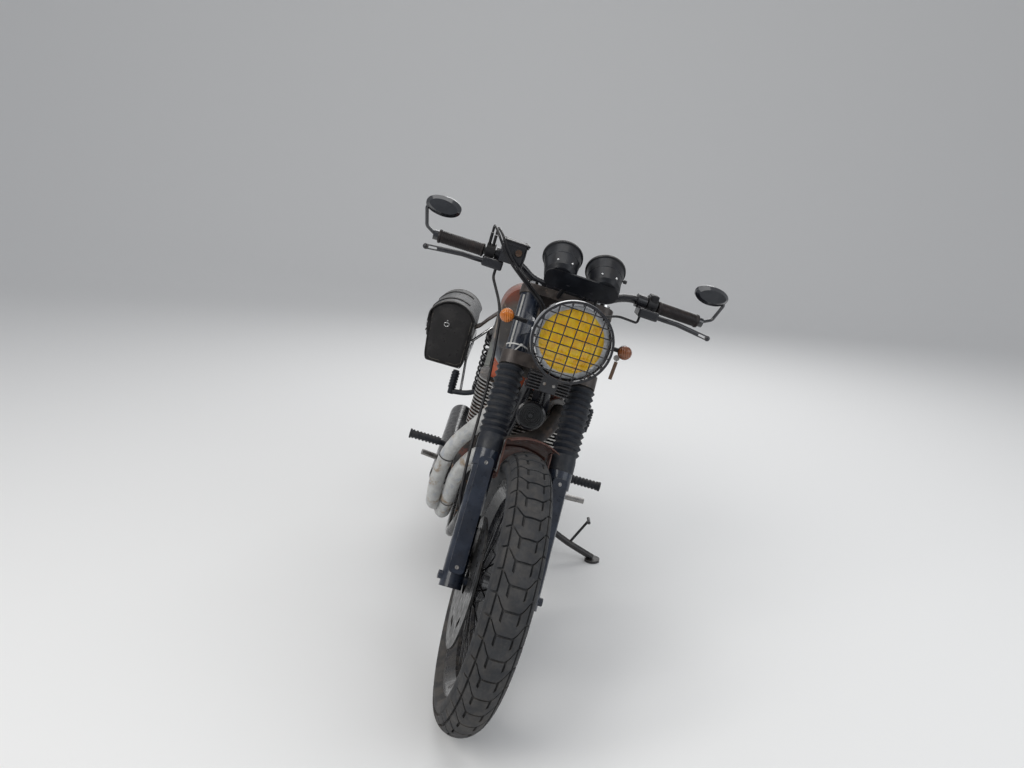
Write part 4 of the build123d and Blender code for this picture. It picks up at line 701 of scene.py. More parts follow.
for finishName, nodeNames in nodeFinish.items():
    for nodeName in nodeNames:
        solid = bpy.data.objects[nodeName].data
        solid.materials.clear()
        solid.materials.append(finish[finishName])
print("solids finished")

# Tyres: carcass spun round, tread blocks drawn out of it, then slanted into shallow arrows
tyreSet = {
    "front_tyre": {"piece": "frontTread", "body": "front_wheel", "center": (0, 0, 331.0), "radius": 330.6,
                   "crown": 52.0, "bead": 241.0, "rimHalf": 37.0, "pitches": 42},
    "rear_tyre": {"piece": "rearTread", "body": "rear_wheel", "center": (0, 1500.0, 320.0), "radius": 319.6,
                  "crown": 66.0, "bead": 216.0, "rimHalf": 50.0, "pitches": 38},
}
treadSet = {"depth": 5.6, "reach": 70.0, "columns": 27, "perPitch": 11, "heel": ((0.6, 1.2), (13.0, 5.6)),
            "innerCut": 0.30, "outerCut": 0.66, "rise": 0.62, "riseFrom": 0.22, "riseOver": 0.5,
            "wall": ((-98, 0.6), (-92, 0.6), (-89, 0.1), (-86, 0.1), (-83, 0.8), (-80, 1.6), (-77, 2.4), (-74, 4.0))}


def treadShift(across):
    # How far a groove has run ahead, in pitches, at a share of the way out to the shoulder
    share = min(max((abs(across) - treadSet["riseFrom"]) / treadSet["riseOver"], 0.0), 1.0)
    return treadSet["rise"] * share * share * (3 - 2 * share)


def inBlock(across, turn):
    row = int(turn) % treadSet["perPitch"]
    cut = 1.05 / treadSet["columns"]
    if row == 0:
        return False
    if abs(abs(across) - treadSet["innerCut"]) < cut:
        return row > treadSet["perPitch"] // 2
    return abs(abs(across) - treadSet["outerCut"]) >= cut


def makeTyre(nodeName):
    spec = tyreSet[nodeName]
    crown, rimHalf = spec["crown"], spec["rimHalf"]
    middle = spec["radius"] - crown
    profile = [(spec["bead"] + out, inward - rimHalf) for out, inward in treadSet["heel"]]
    for degrees, sink in treadSet["wall"]:
        bend, wall = math.radians(degrees), crown - 0.2 - sink
        profile.append((middle + wall * math.cos(bend), wall * math.sin(bend)))
    lead = [(r, -x) for r, x in reversed(profile)]
    for index in range(treadSet["columns"] + 1):
        bend = math.radians(-treadSet["reach"] + 2 * treadSet["reach"] * index / treadSet["columns"])
        floor = crown - treadSet["depth"]
        profile.append((middle + floor * math.cos(bend), floor * math.sin(bend)))
    steps = spec["pitches"] * treadSet["perPitch"]
    tyre = lathed(spec["piece"], profile + lead, steps)
    startEdit(tyre, "DESELECT")
    data = bmesh.from_edit_mesh(tyre.data)
    for face in data.faces:
        spot = face.calc_center_median()
        outward = math.hypot(spot.x, spot.y) - middle
        across = math.degrees(math.atan2(spot.z, outward)) / treadSet["reach"]
        if outward > 0 and abs(across) < 1:
            face.select = inBlock(across, (math.atan2(spot.y, spot.x) / math.tau) % 1.0 * steps)
    bmesh.update_edit_mesh(tyre.data)
    bpy.ops.mesh.extrude_region_shrink_fatten(TRANSFORM_OT_shrink_fatten={"value": treadSet["depth"]})
    endEdit()
    pitchAngle = math.tau / spec["pitches"]
    for point in tyre.data.vertices:
        outward = math.hypot(point.co.x, point.co.y) - middle
        if outward < 0:
            continue
        across = math.degrees(math.atan2(point.co.z, outward)) / treadSet["reach"]
        point.co = Matrix.Rotation(-treadShift(across) * pitchAngle, 3, "Z") @ point.co
        reach = math.hypot(point.co.x, point.co.y)
        if reach > spec["radius"]:
            point.co.x *= spec["radius"] / reach
            point.co.y *= spec["radius"] / reach
    addBevel(tyre, 0.7, 1, 40)
    setDown(tyre, spec["body"], "tyreRubber", 38, moved(spec["center"]) @ turned(90, "Y"))
    standFor(tyre, nodeName)


for tyreName in tyreSet:
    makeTyre(tyreName)
print("tyres treaded")

# Header pipes: cloth tape wound round both pipes, each turn lapping the one before
wrapSet = {
    "radius": 20.2, "lap": 1.15, "pitch": 23.0, "ringStep": 2.6, "around": 30, "chartLong": 135.0, "rise": 0.12,
    "outer": [(-80, 449.8, 672), (-80, 404, 672), (-116, 384, 610), (-180, 408, 505), (-196, 436, 400),
              (-190, 490, 300), (-186, 570, 262), (-184, 640, 262), (-184, 689.7, 262)],
    "inner": [(80, 449.8, 672), (80, 404, 672), (48, 374, 612), (-40, 366, 566), (-110, 382, 510), (-146, 420, 430),
              (-150, 480, 320), (-154, 560, 240), (-172, 640, 238), (-172, 689.7, 238)],
    "bareShare": 0.30, "overlap": 4, "loose": 0.35, "cornerShare": 0.45, "cornerSteps": 8, "tieRoll": 200,
    "ties": {"outer": (0.07, 0.42, 0.93), "inner": (0.05, 0.55, 0.94)},
}
portSet = {"side": 80, "y": 449.5, "z": 672, "lug": 38, "lugHalf": (9, 14), "lugSpan": (0.5, 8.5), "nut": (7.4, 7),
           "nutAt": (46, 12)}


def pipeLine(points, step):
    # Even samples along straight runs joined by smooth bends
    corners = [Vector(point) for point in points]
    line = [corners[0]]
    for before, here, after in zip(corners, corners[1:], corners[2:]):
        comeIn, goOut = (here - before), (after - here)
        if comeIn.angle(goOut) < 0.01:
            line.append(here)
            continue
        reach = wrapSet["cornerShare"] * min(comeIn.length, goOut.length)
        start, end = here - comeIn.normalized() * reach, here + goOut.normalized() * reach
        for index in range(wrapSet["cornerSteps"] + 1):
            part = index / wrapSet["cornerSteps"]
            line.append(start * (1 - part) ** 2 + here * 2 * part * (1 - part) + end * part ** 2)
    line.append(corners[-1])
    spread = [line[0]]
    for before, after in zip(line, line[1:]):
        count = max(int((after - before).length / step), 1)
        spread += [before.lerp(after, (index + 1) / count) for index in range(count)]
    return spread


def ringFaces(rings, around, start=0):
    # Quads between neighbouring rings of points
    return [(start + ring * around + step, start + ring * around + (step + 1) % around,
             start + (ring + 1) * around + (step + 1) % around, start + (ring + 1) * around + step)
            for ring in range(rings - 1) for step in range(around)]


def makeWrap(name, line, lap):
    points, along, around = [], 0.0, wrapSet["around"]
    side = (line[1] - line[0]).normalized().orthogonal().normalized()
    for index, spot in enumerate(line):
        before, after = line[max(index - 1, 0)], line[min(index + 1, len(line) - 1)]
        way = (after - before).normalized()
        side = (side - way * side.dot(way)).normalized()
        other = way.cross(side)
        along += (spot - before).length
        for step in range(around):
            turn = math.tau * step / around
            phase = (along / wrapSet["pitch"] + step / around) % 1.0
            ridge = lap * (1 - phase) if phase > wrapSet["rise"] else lap * (phase / wrapSet["rise"])
            loose = wrapSet["loose"] * lap * noise.noise(Vector((along * 0.05, step * 0.4, len(line) * 0.37)))
            radius = wrapSet["radius"] + ridge + loose - 0.1
            points.append(tuple(spot + side * math.cos(turn) * radius + other * math.sin(turn) * radius))
    last = (len(line) - 1) * around
    ends = [tuple(reversed(range(around))), tuple(range(last, last + around))]
    obj = drawnPiece(name, points, [], ringFaces(len(line), around) + ends)
    chart = obj.data.uv_layers.new(name="wrapChart")
    for face in obj.data.polygons:
        steps = [obj.data.loops[corner].vertex_index % around for corner in face.loop_indices]
        for corner in face.loop_indices:
            ring, step = divmod(obj.data.loops[corner].vertex_index, around)
            if step == 0 and max(steps) > around // 2:
                step = around
            chart.data[corner].uv = (step / around, ring * wrapSet["ringStep"] / wrapSet["chartLong"])
    tidyNormals(obj)
    ties = []
    for share in wrapSet["ties"].get(name, ()):
        index = int(share * (len(line) - 2))
        tie = lathed("wireTie", [(22.2, -1.6), (23.0, -1.6), (23.2, 0), (23.0, 1.6), (22.2, 1.6), (22.2, -1.6)], 32)
        knot = boxPiece("wireKnot", (22.5, -3, -2.6), (26.5, 3, 2.6), 0.8)
        place = facing(line[index], line[index + 1] - line[index], wrapSet["tieRoll"])
        ties.append(placed(joinPieces("wireTie", [tie, knot]), place))
    return obj, ties


def makeHeaders():
    outer, inner = (pipeLine(wrapSet[side], wrapSet["ringStep"]) for side in ("outer", "inner"))
    split = int(wrapSet["bareShare"] * len(inner))
    setDown(makeWrap("barePipe", inner[:split + wrapSet["overlap"]], 0.0)[0], "chassis", "blackSteel", 50)
    wraps, ties = [], []
    for side, line in (("outer", outer), ("inner", inner[split:])):
        wrap, own = makeWrap(side, line, wrapSet["lap"])
        wraps.append(wrap)
        ties += own
    wrapped = setDown(joinPieces("wrappedHeaders", wraps), "chassis", "wrapCloth", 50)
    standFor(wrapped, "header_pipes")
    setDown(joinPieces("wrapTies", ties), "chassis", "blackEnamel")
    flanges = []
    (wide, tall), (low, high) = portSet["lugHalf"], portSet["lugSpan"]
    for side in (-1, 1):
        parts = [lathed("portFlange", [(22.6, 0), (38, 0), (40, 2), (40, 7), (37, 9), (24, 9), (22.6, 8), (22.6, 0)])]
        for end in (-1, 1):
            lug = end * portSet["lug"]
            parts.append(boxPiece("flangeLug", (-wide, lug - tall, low), (wide, lug + tall, high), 2.5))
        for end in (-1, 1):
            nut = rodPiece(6, *portSet["nut"], (0, end * portSet["nutAt"][0], portSet["nutAt"][1]))
            addBevel(nut, 0.6, 2)
            parts.append(nut)
        place = facing((side * portSet["side"], portSet["y"], portSet["z"]), (0, -1, 0))
        flanges.append(placed(joinPieces("portFlange", parts), place))
    setDown(joinPieces("portFlanges", flanges), "chassis", "steel")


makeHeaders()
print("header pipes wrapped")

# Seat and bag: the solid's own form, puffed by cloth simulation, then seamed
softSet = {
    "seat": {"piece": "paddedSeat", "body": "chassis", "finish": "seatLeather", "slot": "seat_leather", "voxel": 0.0045,
             "shrink": 0.0022, "cap": 0.010, "pressure": 4.0},
    "pannier_bag": {"piece": "leatherBag", "body": "chassis", "finish": "bagLeather", "slot": "bag_leather",
                    "voxel": 0.0034, "shrink": 0.0, "cap": 0.004, "pressure": 1.0},
    # the lid takes the lighter grey leather, whose colour is painted sheen
    "pannier_lid": {"piece": "leatherFlap", "body": "pannier_lid", "finish": "lidLeatherPaintedSheen", "slot": "bag_leather",
                    "voxel": 0.0030, "shrink": 0.0, "cap": 0.003, "pressure": 0.6},
}
clothSet = {"quality": 5, "mass": 0.3, "tension_stiffness": 20, "compression_stiffness": 20, "bending_stiffness": 2.0,
            "use_pressure": True}
clothFrames = 20
settleSet = {"weld": 0.00002, "factor": 0.5, "rounds": 6}


def puff(form, spec):
    start = [vertex.co.copy() for vertex in form.data.vertices]
    cloth = form.modifiers.new("puff", "CLOTH")
    for key, value in clothSet.items():
        setattr(cloth.settings, key, value)
    cloth.settings.uniform_pressure_force = spec["pressure"]
    cloth.settings.effector_weights.gravity = 0
    cloth.collision_settings.use_collision = False
    for moment in range(1, clothFrames + 1):
        bpy.context.scene.frame_set(moment)
        bpy.context.view_layer.update()
    applyModifiers(form)
    bpy.context.scene.frame_set(1)
    for vertex, rest in zip(form.data.vertices, start):
        step = vertex.co - rest
        if step.length > spec["cap"]:
            vertex.co = rest + step.normalized() * spec["cap"]


def softPiece(nodeName):
    spec = softSet[nodeName]
    form = copyPiece(bpy.data.objects[nodeName], Matrix.Identity(4))
    form.name = spec["piece"]
    form.hide_render = False
    startEdit(form)
    bpy.ops.mesh.remove_doubles(threshold=settleSet["weld"])
    endEdit()
    remesh = form.modifiers.new("evenMesh", "REMESH")
    remesh.mode = "VOXEL"
    remesh.voxel_size = spec["voxel"]
    applyModifiers(form)
    if spec["shrink"]:
        normals = [Vector(vertex.normal) for vertex in form.data.vertices]
        for vertex, normal in zip(form.data.vertices, normals):
            vertex.co -= normal * spec["shrink"]
    puff(form, spec)
    smooth = form.modifiers.new("settle", "SMOOTH")
    smooth.factor = settleSet["factor"]
    smooth.iterations = settleSet["rounds"]
    applyModifiers(form)
    dress(form, finish[spec["finish"]], 50)
    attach(form, spec["body"])
    standFor(form, nodeName)
    return form


softPiece("seat")
softPiece("pannier_bag")
softPiece("pannier_lid")
print("seat and bag puffed")

bagSet = {"inner": -232.0, "outer": -392.0, "domeZ": 690.0, "dome": 88.0, "low": 552.0, "taper": 0.1, "front": 1130.0,
          "back": 1480.0, "flapReach": 6.0, "pipe": 2.1, "binding": 2.9, "inset": 9.0, "stitch": (5.2, 0.55),
          "stitchShare": 0.62, "pipeLevels": (716, 640), "pipeBend": 24, "seamTop": 724, "seamTurn": (14, 22),
          "ringAt": (-325.0, 704.0)}
bagMid = (bagSet["inner"] + bagSet["outer"]) / 2


def stitchRow(name, points, pitch, size):
    # Small stitches along a line, each a short rounded bar laid on the leather
    seed = rodPiece(6, size, pitch * bagSet["stitchShare"])
    copies, rest = [], 0.0
    for start, end in zip(points, points[1:]):
        start, end = Vector(start), Vector(end)
        span = (end - start).length
        while rest < span:
            copies.append(copyPiece(seed, facing(start.lerp(end, rest / span), end - start)))
            rest += pitch
        rest -= span
    bpy.data.objects.remove(seed)
    return joinPieces(name, copies)


def domeLine(y, grow, startDegrees, endDegrees, count):
    # Points round the lid's dome, from its inner side over the top to the outer side
    radius = bagSet["dome"] + grow
    turns = [math.radians(startDegrees + (endDegrees - startDegrees) * index / count) for index in range(count + 1)]
    return [(bagMid + radius * math.cos(turn), y, bagSet["domeZ"] + radius * math.sin(turn)) for turn in turns]


def setDownTrim(pipeName, pipes, threadName, threads, body, pipeFinish):
    setDown(joinPieces(pipeName, pipes), body, pipeFinish, 60)
    setDown(joinPieces(threadName, threads), body, "thread", 0)


def makeBagTrim():
    inner, outer, low, inset = (bagSet[key] for key in ("inner", "outer", "low", "inset"))
    shoulder = bagSet["domeZ"] + math.sqrt(bagSet["dome"] ** 2 - ((inner - outer) / 2) ** 2)
    drift = bagSet["taper"] * (shoulder - low)
    (top, middle), bend, (turnIn, turnUp) = bagSet["pipeLevels"], bagSet["pipeBend"], bagSet["seamTurn"]
    pipes, threads = [], []
    for y, way in ((bagSet["front"], -1), (bagSet["back"], 1)):
        edge = [(inner - 1, top), (inner - 1, middle), (inner - 1, low + 1), (inner - bend, low + 1), (bagMid, low + 1),
                (outer + drift + bend, low + 1), (outer + drift + 1, low + 1), (outer + drift * 0.5 + 1, middle),
                (outer + 1.6, top)]
        pipes.append(tubePiece("bagPiping", [(x, y, z) for x, z in edge], bagSet["pipe"]))
        seam = [(inner - inset, bagSet["seamTop"]), (inner - inset, low + turnUp),
                (inner - inset - turnIn, low + inset), (outer + drift + inset + turnIn, low + inset),
                (outer + drift + inset, low + turnUp), (outer + inset, bagSet["seamTop"])]
        threads.append(stitchRow("bagThread", [(x, y + way * 0.5, z) for x, z in seam], *bagSet["stitch"]))
    setDownTrim("bagPiping", pipes, "bagThread", threads, "chassis", "bagLeather")
    bindings, threads = [], []
    for y, way in ((bagSet["front"] - bagSet["flapReach"], 1), (bagSet["back"] + bagSet["flapReach"], -1)):
        line = domeLine(y, 2.6, 28, 156, 12) + [(outer - 2.4, y, 700), (outer - 2.0, y, 689)]
        bindings.append(tubePiece("flapBinding", line, bagSet["binding"]))
        seam = domeLine(y + way * 10, 5.0, 32, 152, 24) + [(outer - 4.9, y + way * 10, 696)]
        threads.append(stitchRow("flapThread", seam, *bagSet["stitch"]))
    setDownTrim("flapBinding", bindings, "flapThread", threads, "pannier_lid", "bagLeather")


strapSet = {"places": (1212.0, 1398.0), "wide": 26.0, "thick": 2.4, "over": (5.2, 60, 150, 18),
            "across": (-1, -0.5, 0, 0.5, 1), "tipFrom": 624, "tipSlope": 0.6,
            "fall": ((-5.6, 706), (-5.4, 690), (-4.6, 668), (-2.6, 646), (0.4, 622)),
            "buckle": (17, 12, 1.7), "buckleAt": (-7.9, 667), "rivetAt": (-7.8, 700), "keeperX": (-8.6, -5.9),
            "keeperZ": (640, 648), "keeperOver": 2.5}


def makeStraps():
    straps, buckles, tabs = [], [], []
    wide, outer, front, count = strapSet["wide"], bagSet["outer"], bagSet["front"], len(strapSet["across"])
    for y in strapSet["places"]:
        line = domeLine(y, *strapSet["over"]) + [(outer + x, y, z) for x, z in strapSet["fall"]]
        points = [(x, y + share * wide / 2, z) for x, y, z in line for share in strapSet["across"]]
        faces = [(row * count + step, row * count + step + 1, (row + 1) * count + step + 1, (row + 1) * count + step)
                 for row in range(len(line) - 1) for step in range(count - 1)]
        strap = drawnPiece("flapStrap", points, [], faces)
        for vertex in strap.data.vertices:
            if vertex.co.z < strapSet["tipFrom"]:  # pointed tip
                vertex.co.z += abs(vertex.co.y - y) * strapSet["tipSlope"]
        tidyNormals(strap)
        if sum(face.normal.x for face in strap.data.polygons) > 0:
            strap.data.flip_normals()
        wall = strap.modifiers.new("hide", "SOLIDIFY")
        wall.thickness = strapSet["thick"]
        wall.offset = 1.0
        addBevel(strap, 0.6, 2)
        straps.append(strap)
        half, tall, wire = strapSet["buckle"]
        corners = [Vector((0, y, z)) for y, z in ((-half, -tall), (half, -tall), (half, tall), (-half, tall))]
        rounded = [here.lerp(after, share) for here, after in zip(corners, corners[1:] + corners[:1])
                   for share in (0.12, 0.5, 0.88)]
        buckle = tubePiece("strapBuckle", rounded, wire, closed=True)
        prong = tubePiece("strapProng", [(0, 0, tall), (-3.4, 0, tall / 2), (-3.4, 0, -tall / 2), (-1, 0, -tall)], 1.2)
        out, level = strapSet["buckleAt"]
        buckles.append(placed(joinPieces("strapBuckle", [buckle, prong]), moved(outer + out, y, level)))
        rivet = lathed("strapRivet", [(0, 2.0), (2.6, 1.5), (4.0, 0.2), (4.2, -0.4), (0, -0.4)], 20)
        out, level = strapSet["rivetAt"]
        buckles.append(placed(rivet, facing((outer + out, y, level), (-1, 0, 0))))
        reach, (far, near), (low, high) = wide / 2 + strapSet["keeperOver"], strapSet["keeperX"], strapSet["keeperZ"]
        tabs.append(boxPiece("strapKeeper", (outer + far, y - reach, low), (outer + near, y + reach, high), 0.8))
    setDown(joinPieces("flapStraps", straps + tabs), "pannier_lid", "bagLeather", 40)
    setDown(joinPieces("strapBuckles", buckles), "pannier_lid", "chrome")
    ringX, ringZ = bagSet["ringAt"]
    loop = ((-9, -3), (-8.5, -12), (0, -17), (8.5, -12), (9, -3), (0, -1.5))
    ring = tubePiece("panelRing", [(ringX + x, 0, ringZ + z) for x, z in loop], 1.5, closed=True)
    placed(ring, moved(0, front - 4.2, 0))
    stud = lathed("panelStud", [(0, 4.2), (3.4, 3.6), (5.4, 1.6), (5.8, -0.4), (0, -0.4)], 24)
    placed(stud, facing((ringX, front, ringZ + 6), (0, -1, 0)))
    setDown(joinPieces("panelRing", [ring, stud]), "chassis", "chrome")
    keeper = boxPiece("ringKeeper", (ringX - 7, front - 3.4, ringZ - 5), (ringX + 7, front + 0.4, ringZ + 14), 1.2)
    setDown(keeper, "chassis", "bagLeather")


makeBagTrim()
makeStraps()
print("bag dressed")

# Seat: piping along both upper edges, and stitches below it
seatSet = {"half": 125.0, "pipe": 2.6, "stitch": (5.6, 0.6),
           "line": [(884, 862), (930, 857), (988, 850), (1060, 852), (1130, 858), (1205, 864), (1270, 872),
                    (1318, 874)]}


def makeSeatTrim():
    pipes, threads = [], []
    for side in (-1, 1):
        line = [(side * (seatSet["half"] - 1.2), y, z - 13) for y, z in seatSet["line"]]
        pipes.append(tubePiece("seatPiping", line, seatSet["pipe"]))
        seam = [(side * (seatSet["half"] + 0.2), y, z - 21) for y, z in seatSet["line"]]
        threads.append(stitchRow("seatThread", seam, *seatSet["stitch"]))
    setDownTrim("seatPiping", pipes, "seatThread", threads, "chassis", "seatLeather")


makeSeatTrim()
print("seat trimmed")

# Engine: bright machined edges on the cooling fins, and cover bolts
engineSet = {"finLow": 545.0, "finCount": 15, "finPitch": 10.0, "finThick": 4.0, "half": 160.0, "front": 480.0,
             "back": 690.0, "corner": 62.0, "cornerSteps": 8, "stand": 0.3, "sink": -1.2, "boltSink": 7.0,
             "coverBolts": [(-165, 640, 390, 90, 9, -1), (-159, 800, 400, 39, 5, -1), (165, 560, 385, 72, 8, 1),
                            (151, 745, 400, 51, 6, 1)],
             "headBolts": [(-60, 535), (-60, 632), (60, 535), (60, 632)], "headTop": 754.6}


def finOutline(grow):
    corner, steps = engineSet["corner"], engineSet["cornerSteps"]
    middle, deep = (engineSet["front"] + engineSet["back"]) / 2, (engineSet["back"] - engineSet["front"]) / 2
    line = []
    for quarter, (signX, signY) in enumerate(((1, 1), (-1, 1), (-1, -1), (1, -1))):
        for step in range(steps + 1):
            turn = math.radians(90 * quarter + 90 * step / steps)
            line.append((signX * (engineSet["half"] - corner) + (corner + grow) * math.cos(turn),
                         middle + signY * (deep - corner) + (corner + grow) * math.sin(turn)))
    return line


def makeFinEdges():
    outside, inside = finOutline(engineSet["stand"]), finOutline(engineSet["sink"])
    count = len(outside)
    points, faces = [], []
    for fin in range(engineSet["finCount"]):
        low = engineSet["finLow"] + fin * engineSet["finPitch"] + (engineSet["finPitch"] - engineSet["finThick"]) / 2
        high = low + engineSet["finThick"]
        base = len(points)
        for line, level in ((inside, low + 0.2), (outside, low - 0.05), (outside, high + 0.05), (inside, high - 0.2)):
            points += [(x, y, level) for x, y in line]
        faces += ringFaces(4, count, base)
        last = base + 3 * count
        faces += [(last + step, last + (step + 1) % count, base + (step + 1) % count, base + step)
                  for step in range(count)]
    band = drawnPiece("finEdges", points, [], faces)
    tidyNormals(band)
    setDown(band, "chassis", "machinedEdge", 40)


def boltHead(radius, tall, sides):
    # Hexagon head on a washer, or a socket cap when it has many sides
    head = rodPiece(sides, radius, tall, (0, 0, tall / 2 + 0.6))
    startEdit(head, "DESELECT")
    data = bmesh.from_edit_mesh(head.data)
    for face in data.faces:
        face.select = face.normal.z > 0.9
    bmesh.update_edit_mesh(head.data)
    bpy.ops.mesh.inset(thickness=radius * 0.32, depth=0)
    bpy.ops.transform.translate(value=(0, 0, -tall * (0.4 if sides > 8 else -0.12)))
    endEdit()
    addBevel(head, radius * 0.09, 1)
    wide = radius * 1.45
    washer = lathed("washer", [(0, 0.9), (radius * 1.35, 0.9), (wide, 0.5), (wide, -0.4), (0, -0.4)], 20)
    return joinPieces("bolt", [head, washer])


def boltSet(name, body, finishName, spots, size, local=None):
    # Every bolt is a copy of its size's head, with its own mesh; a spot may end with a size of its own
    seeds, copies = {}, []
    for place, direction, *own in spots:
        key = tuple(own) or size
        if key not in seeds:
            seeds[key] = boltHead(*key)
        copies.append(copyPiece(seeds[key], facing(place, direction, draw.uniform(0, 60))))
    for seed in seeds.values():
        bpy.data.objects.remove(seed)
    setDown(joinPieces(name, copies), body, finishName, 35, local)


def makeCoverBolts():
    spots = []
    for x, y, z, ring, count, side in engineSet["coverBolts"]:
        for index in range(count):
            turn = math.tau * (index + 0.3) / count
            place = (x - side * engineSet["boltSink"], y + ring * math.cos(turn), z + ring * math.sin(turn))
            spots.append((place, (side, 0, 0)))
    spots += [((x, y, engineSet["headTop"]), (0, 0, 1), 6.5, 6.0, 6) for x, y in engineSet["headBolts"]]
    boltSet("coverBolts", "chassis", "steel", spots, (4.6, 4.4, 14))


makeFinEdges()
makeCoverBolts()
print("engine dressed")

# Drive chain: every link its own pair of plates, a roller and a pin
chainSet = {"x": 84.0, "front": (893.0, 400.0, 45.4), "rear": (1500.0, 320.0, 107.4), "frontSteps": 24, "rearSteps": 40,
            "pitch": 15.7, "plate": 10.6, "waist": 0.36, "width": 14.4, "thick": 1.7}


def chainLine():
    frontY, frontZ, frontR = chainSet["front"]
    rearY, rearZ, rearR = chainSet["rear"]
    heading = math.atan2(rearZ - frontZ, rearY - frontY)
    opening = math.acos((frontR - rearR) / math.hypot(rearY - frontY, rearZ - frontZ))
    line = []
    for y, z, radius, start, sweep, steps in (
            (*chainSet["front"], heading + opening, math.tau - 2 * opening, chainSet["frontSteps"]),
            (*chainSet["rear"], heading - opening, 2 * opening, chainSet["rearSteps"])):
        for step in range(steps + 1):
            turn = start + sweep * step / steps
            line.append(Vector((0, y + radius * math.cos(turn), z + radius * math.sin(turn))))
    return line + [line[0]]


def evenSpots(line, pitch):
    lengths = [(after - before).length for before, after in zip(line, line[1:])]
    count = int(round(sum(lengths) / pitch / 2)) * 2
    spots, index, passed = [], 0, 0.0
    for number in range(count):
        target = number * sum(lengths) / count
        while passed + lengths[index] < target:
            passed += lengths[index]
            index += 1
        spots.append(line[index].lerp(line[index + 1], (target - passed) / lengths[index]))
    return spots


def linkPlate(thick, tall):
    # Waisted side plate with round ends
    outline = []
    for end, first in ((1, -90), (-1, 90)):
        for step in range(6):
            turn = math.radians(first + 180 * step / 5)
            outline.append((0, end * chainSet["pitch"] / 2 + tall / 2 * math.cos(turn), tall / 2 * math.sin(turn)))
        outline.append((0, 0, end * tall * chainSet["waist"]))
    plate = drawnPiece("linkPlate", outline, [], [tuple(range(len(outline)))])
    startEdit(plate)
    bpy.ops.mesh.extrude_region_move(TRANSFORM_OT_translate={"value": (thick, 0, 0)})
    bpy.ops.mesh.select_all(action="SELECT")
    bpy.ops.mesh.normals_make_consistent(inside=False)
    endEdit()
    return plate


def makeChain():
    x, width, thick = chainSet["x"], chainSet["width"], chainSet["thick"]
    spots = evenSpots(chainLine(), chainSet["pitch"])
    plate = linkPlate(thick, chainSet["plate"])
    across = (0, math.pi / 2, 0)
    roller = rodPiece(10, 4.6, width - 2, rotation=across)
    pin = rodPiece(8, 2.4, width + 1.4, rotation=across)
    copies = []
    for index, (here, after) in enumerate(zip(spots, spots[1:] + spots[:1])):
        slope = Matrix.Rotation(math.atan2(after.z - here.z, after.y - here.y), 4, "X")
        edge = width / 2 - (0 if index % 2 else thick + 0.3)
        for side in (-1, 1):
            place = moved(x + side * edge - (thick if side > 0 else 0), (here.y + after.y) / 2, (here.z + after.z) / 2)
            copies.append(copyPiece(plate, place @ slope))
        for seed in (roller, pin):
            copies.append(copyPiece(seed, moved(x, here.y, here.z)))
    for seed in (plate, roller, pin):
        bpy.data.objects.remove(seed)
    standFor(setDown(joinPieces("rollerChain", copies), "chassis", "steel", 40), "drive_chain")


makeChain()
print("chain linked")

# Headlamp: silvered bowl behind the lens, bulb, and the small screws of the rim
headlampSet = {"hollowEdge": 83.4, "hollowRim": -10.4, "hollowDeep": -66.8, "skin": 0.7, "steps": 18,
               "screwRing": 95.0, "screwLevel": -6.5, "screw": (2.6, 1.6, 12)}


def makeLampInside():
    edge, deep, steps = headlampSet["hollowEdge"], headlampSet["hollowDeep"], headlampSet["steps"]
    rise = headlampSet["hollowRim"] - deep
    arc = (edge ** 2 + rise ** 2) / (2 * rise)
    reach = [edge * step / steps for step in range(steps + 1)]
    line = [(r, deep + arc - math.sqrt(arc ** 2 - r ** 2)) for r in reach]
    bowl = lathed("lampReflector", line + [(r, z + headlampSet["skin"]) for r, z in reversed(line)], 56)
    local = facing(lensSet["place"], (0, -1, 0))
    setDown(bowl, "steering", "chrome", 60, local)
    bulb = lathed("lampBulb", [(0, -24), (4, -25), (6.5, -28), (7, -33), (6.5, -50), (8, -52), (9.5, -54), (9.5, -62),
                               (6, -65), (0, -65)], 28)
    setDown(bulb, "steering", "castAluminium", 50, local)
    ring, level = headlampSet["screwRing"], headlampSet["screwLevel"]
    spots = [((x * ring, y * ring, level), (x, y, 0)) for x, y in ((1, 0), (-1, 0), (0, -1))]
    boltSet("rimScrews", "steering", "chrome", spots, headlampSet["screw"], local)


makeLampInside()

# Gauges: dial, ticks, needle, glass, bezel, a reset knob and the bolts under the cups
gaugeSet = {"side": 56.0, "y": 285.0, "z": 1095.0, "tilt": -57.0, "radius": 43.6, "level": -3.7, "ticks": 24,
            "tickWide": 0.55, "tickIn": 4, "long": 8.0, "short": 4.6, "tickStart": 135, "tickSweep": 270,
            "needleTurn": 134, "bolts": [(-18, -40.6), (18, -40.6)], "boltLevel": -66, "knob": (43.5, 0, -20)}


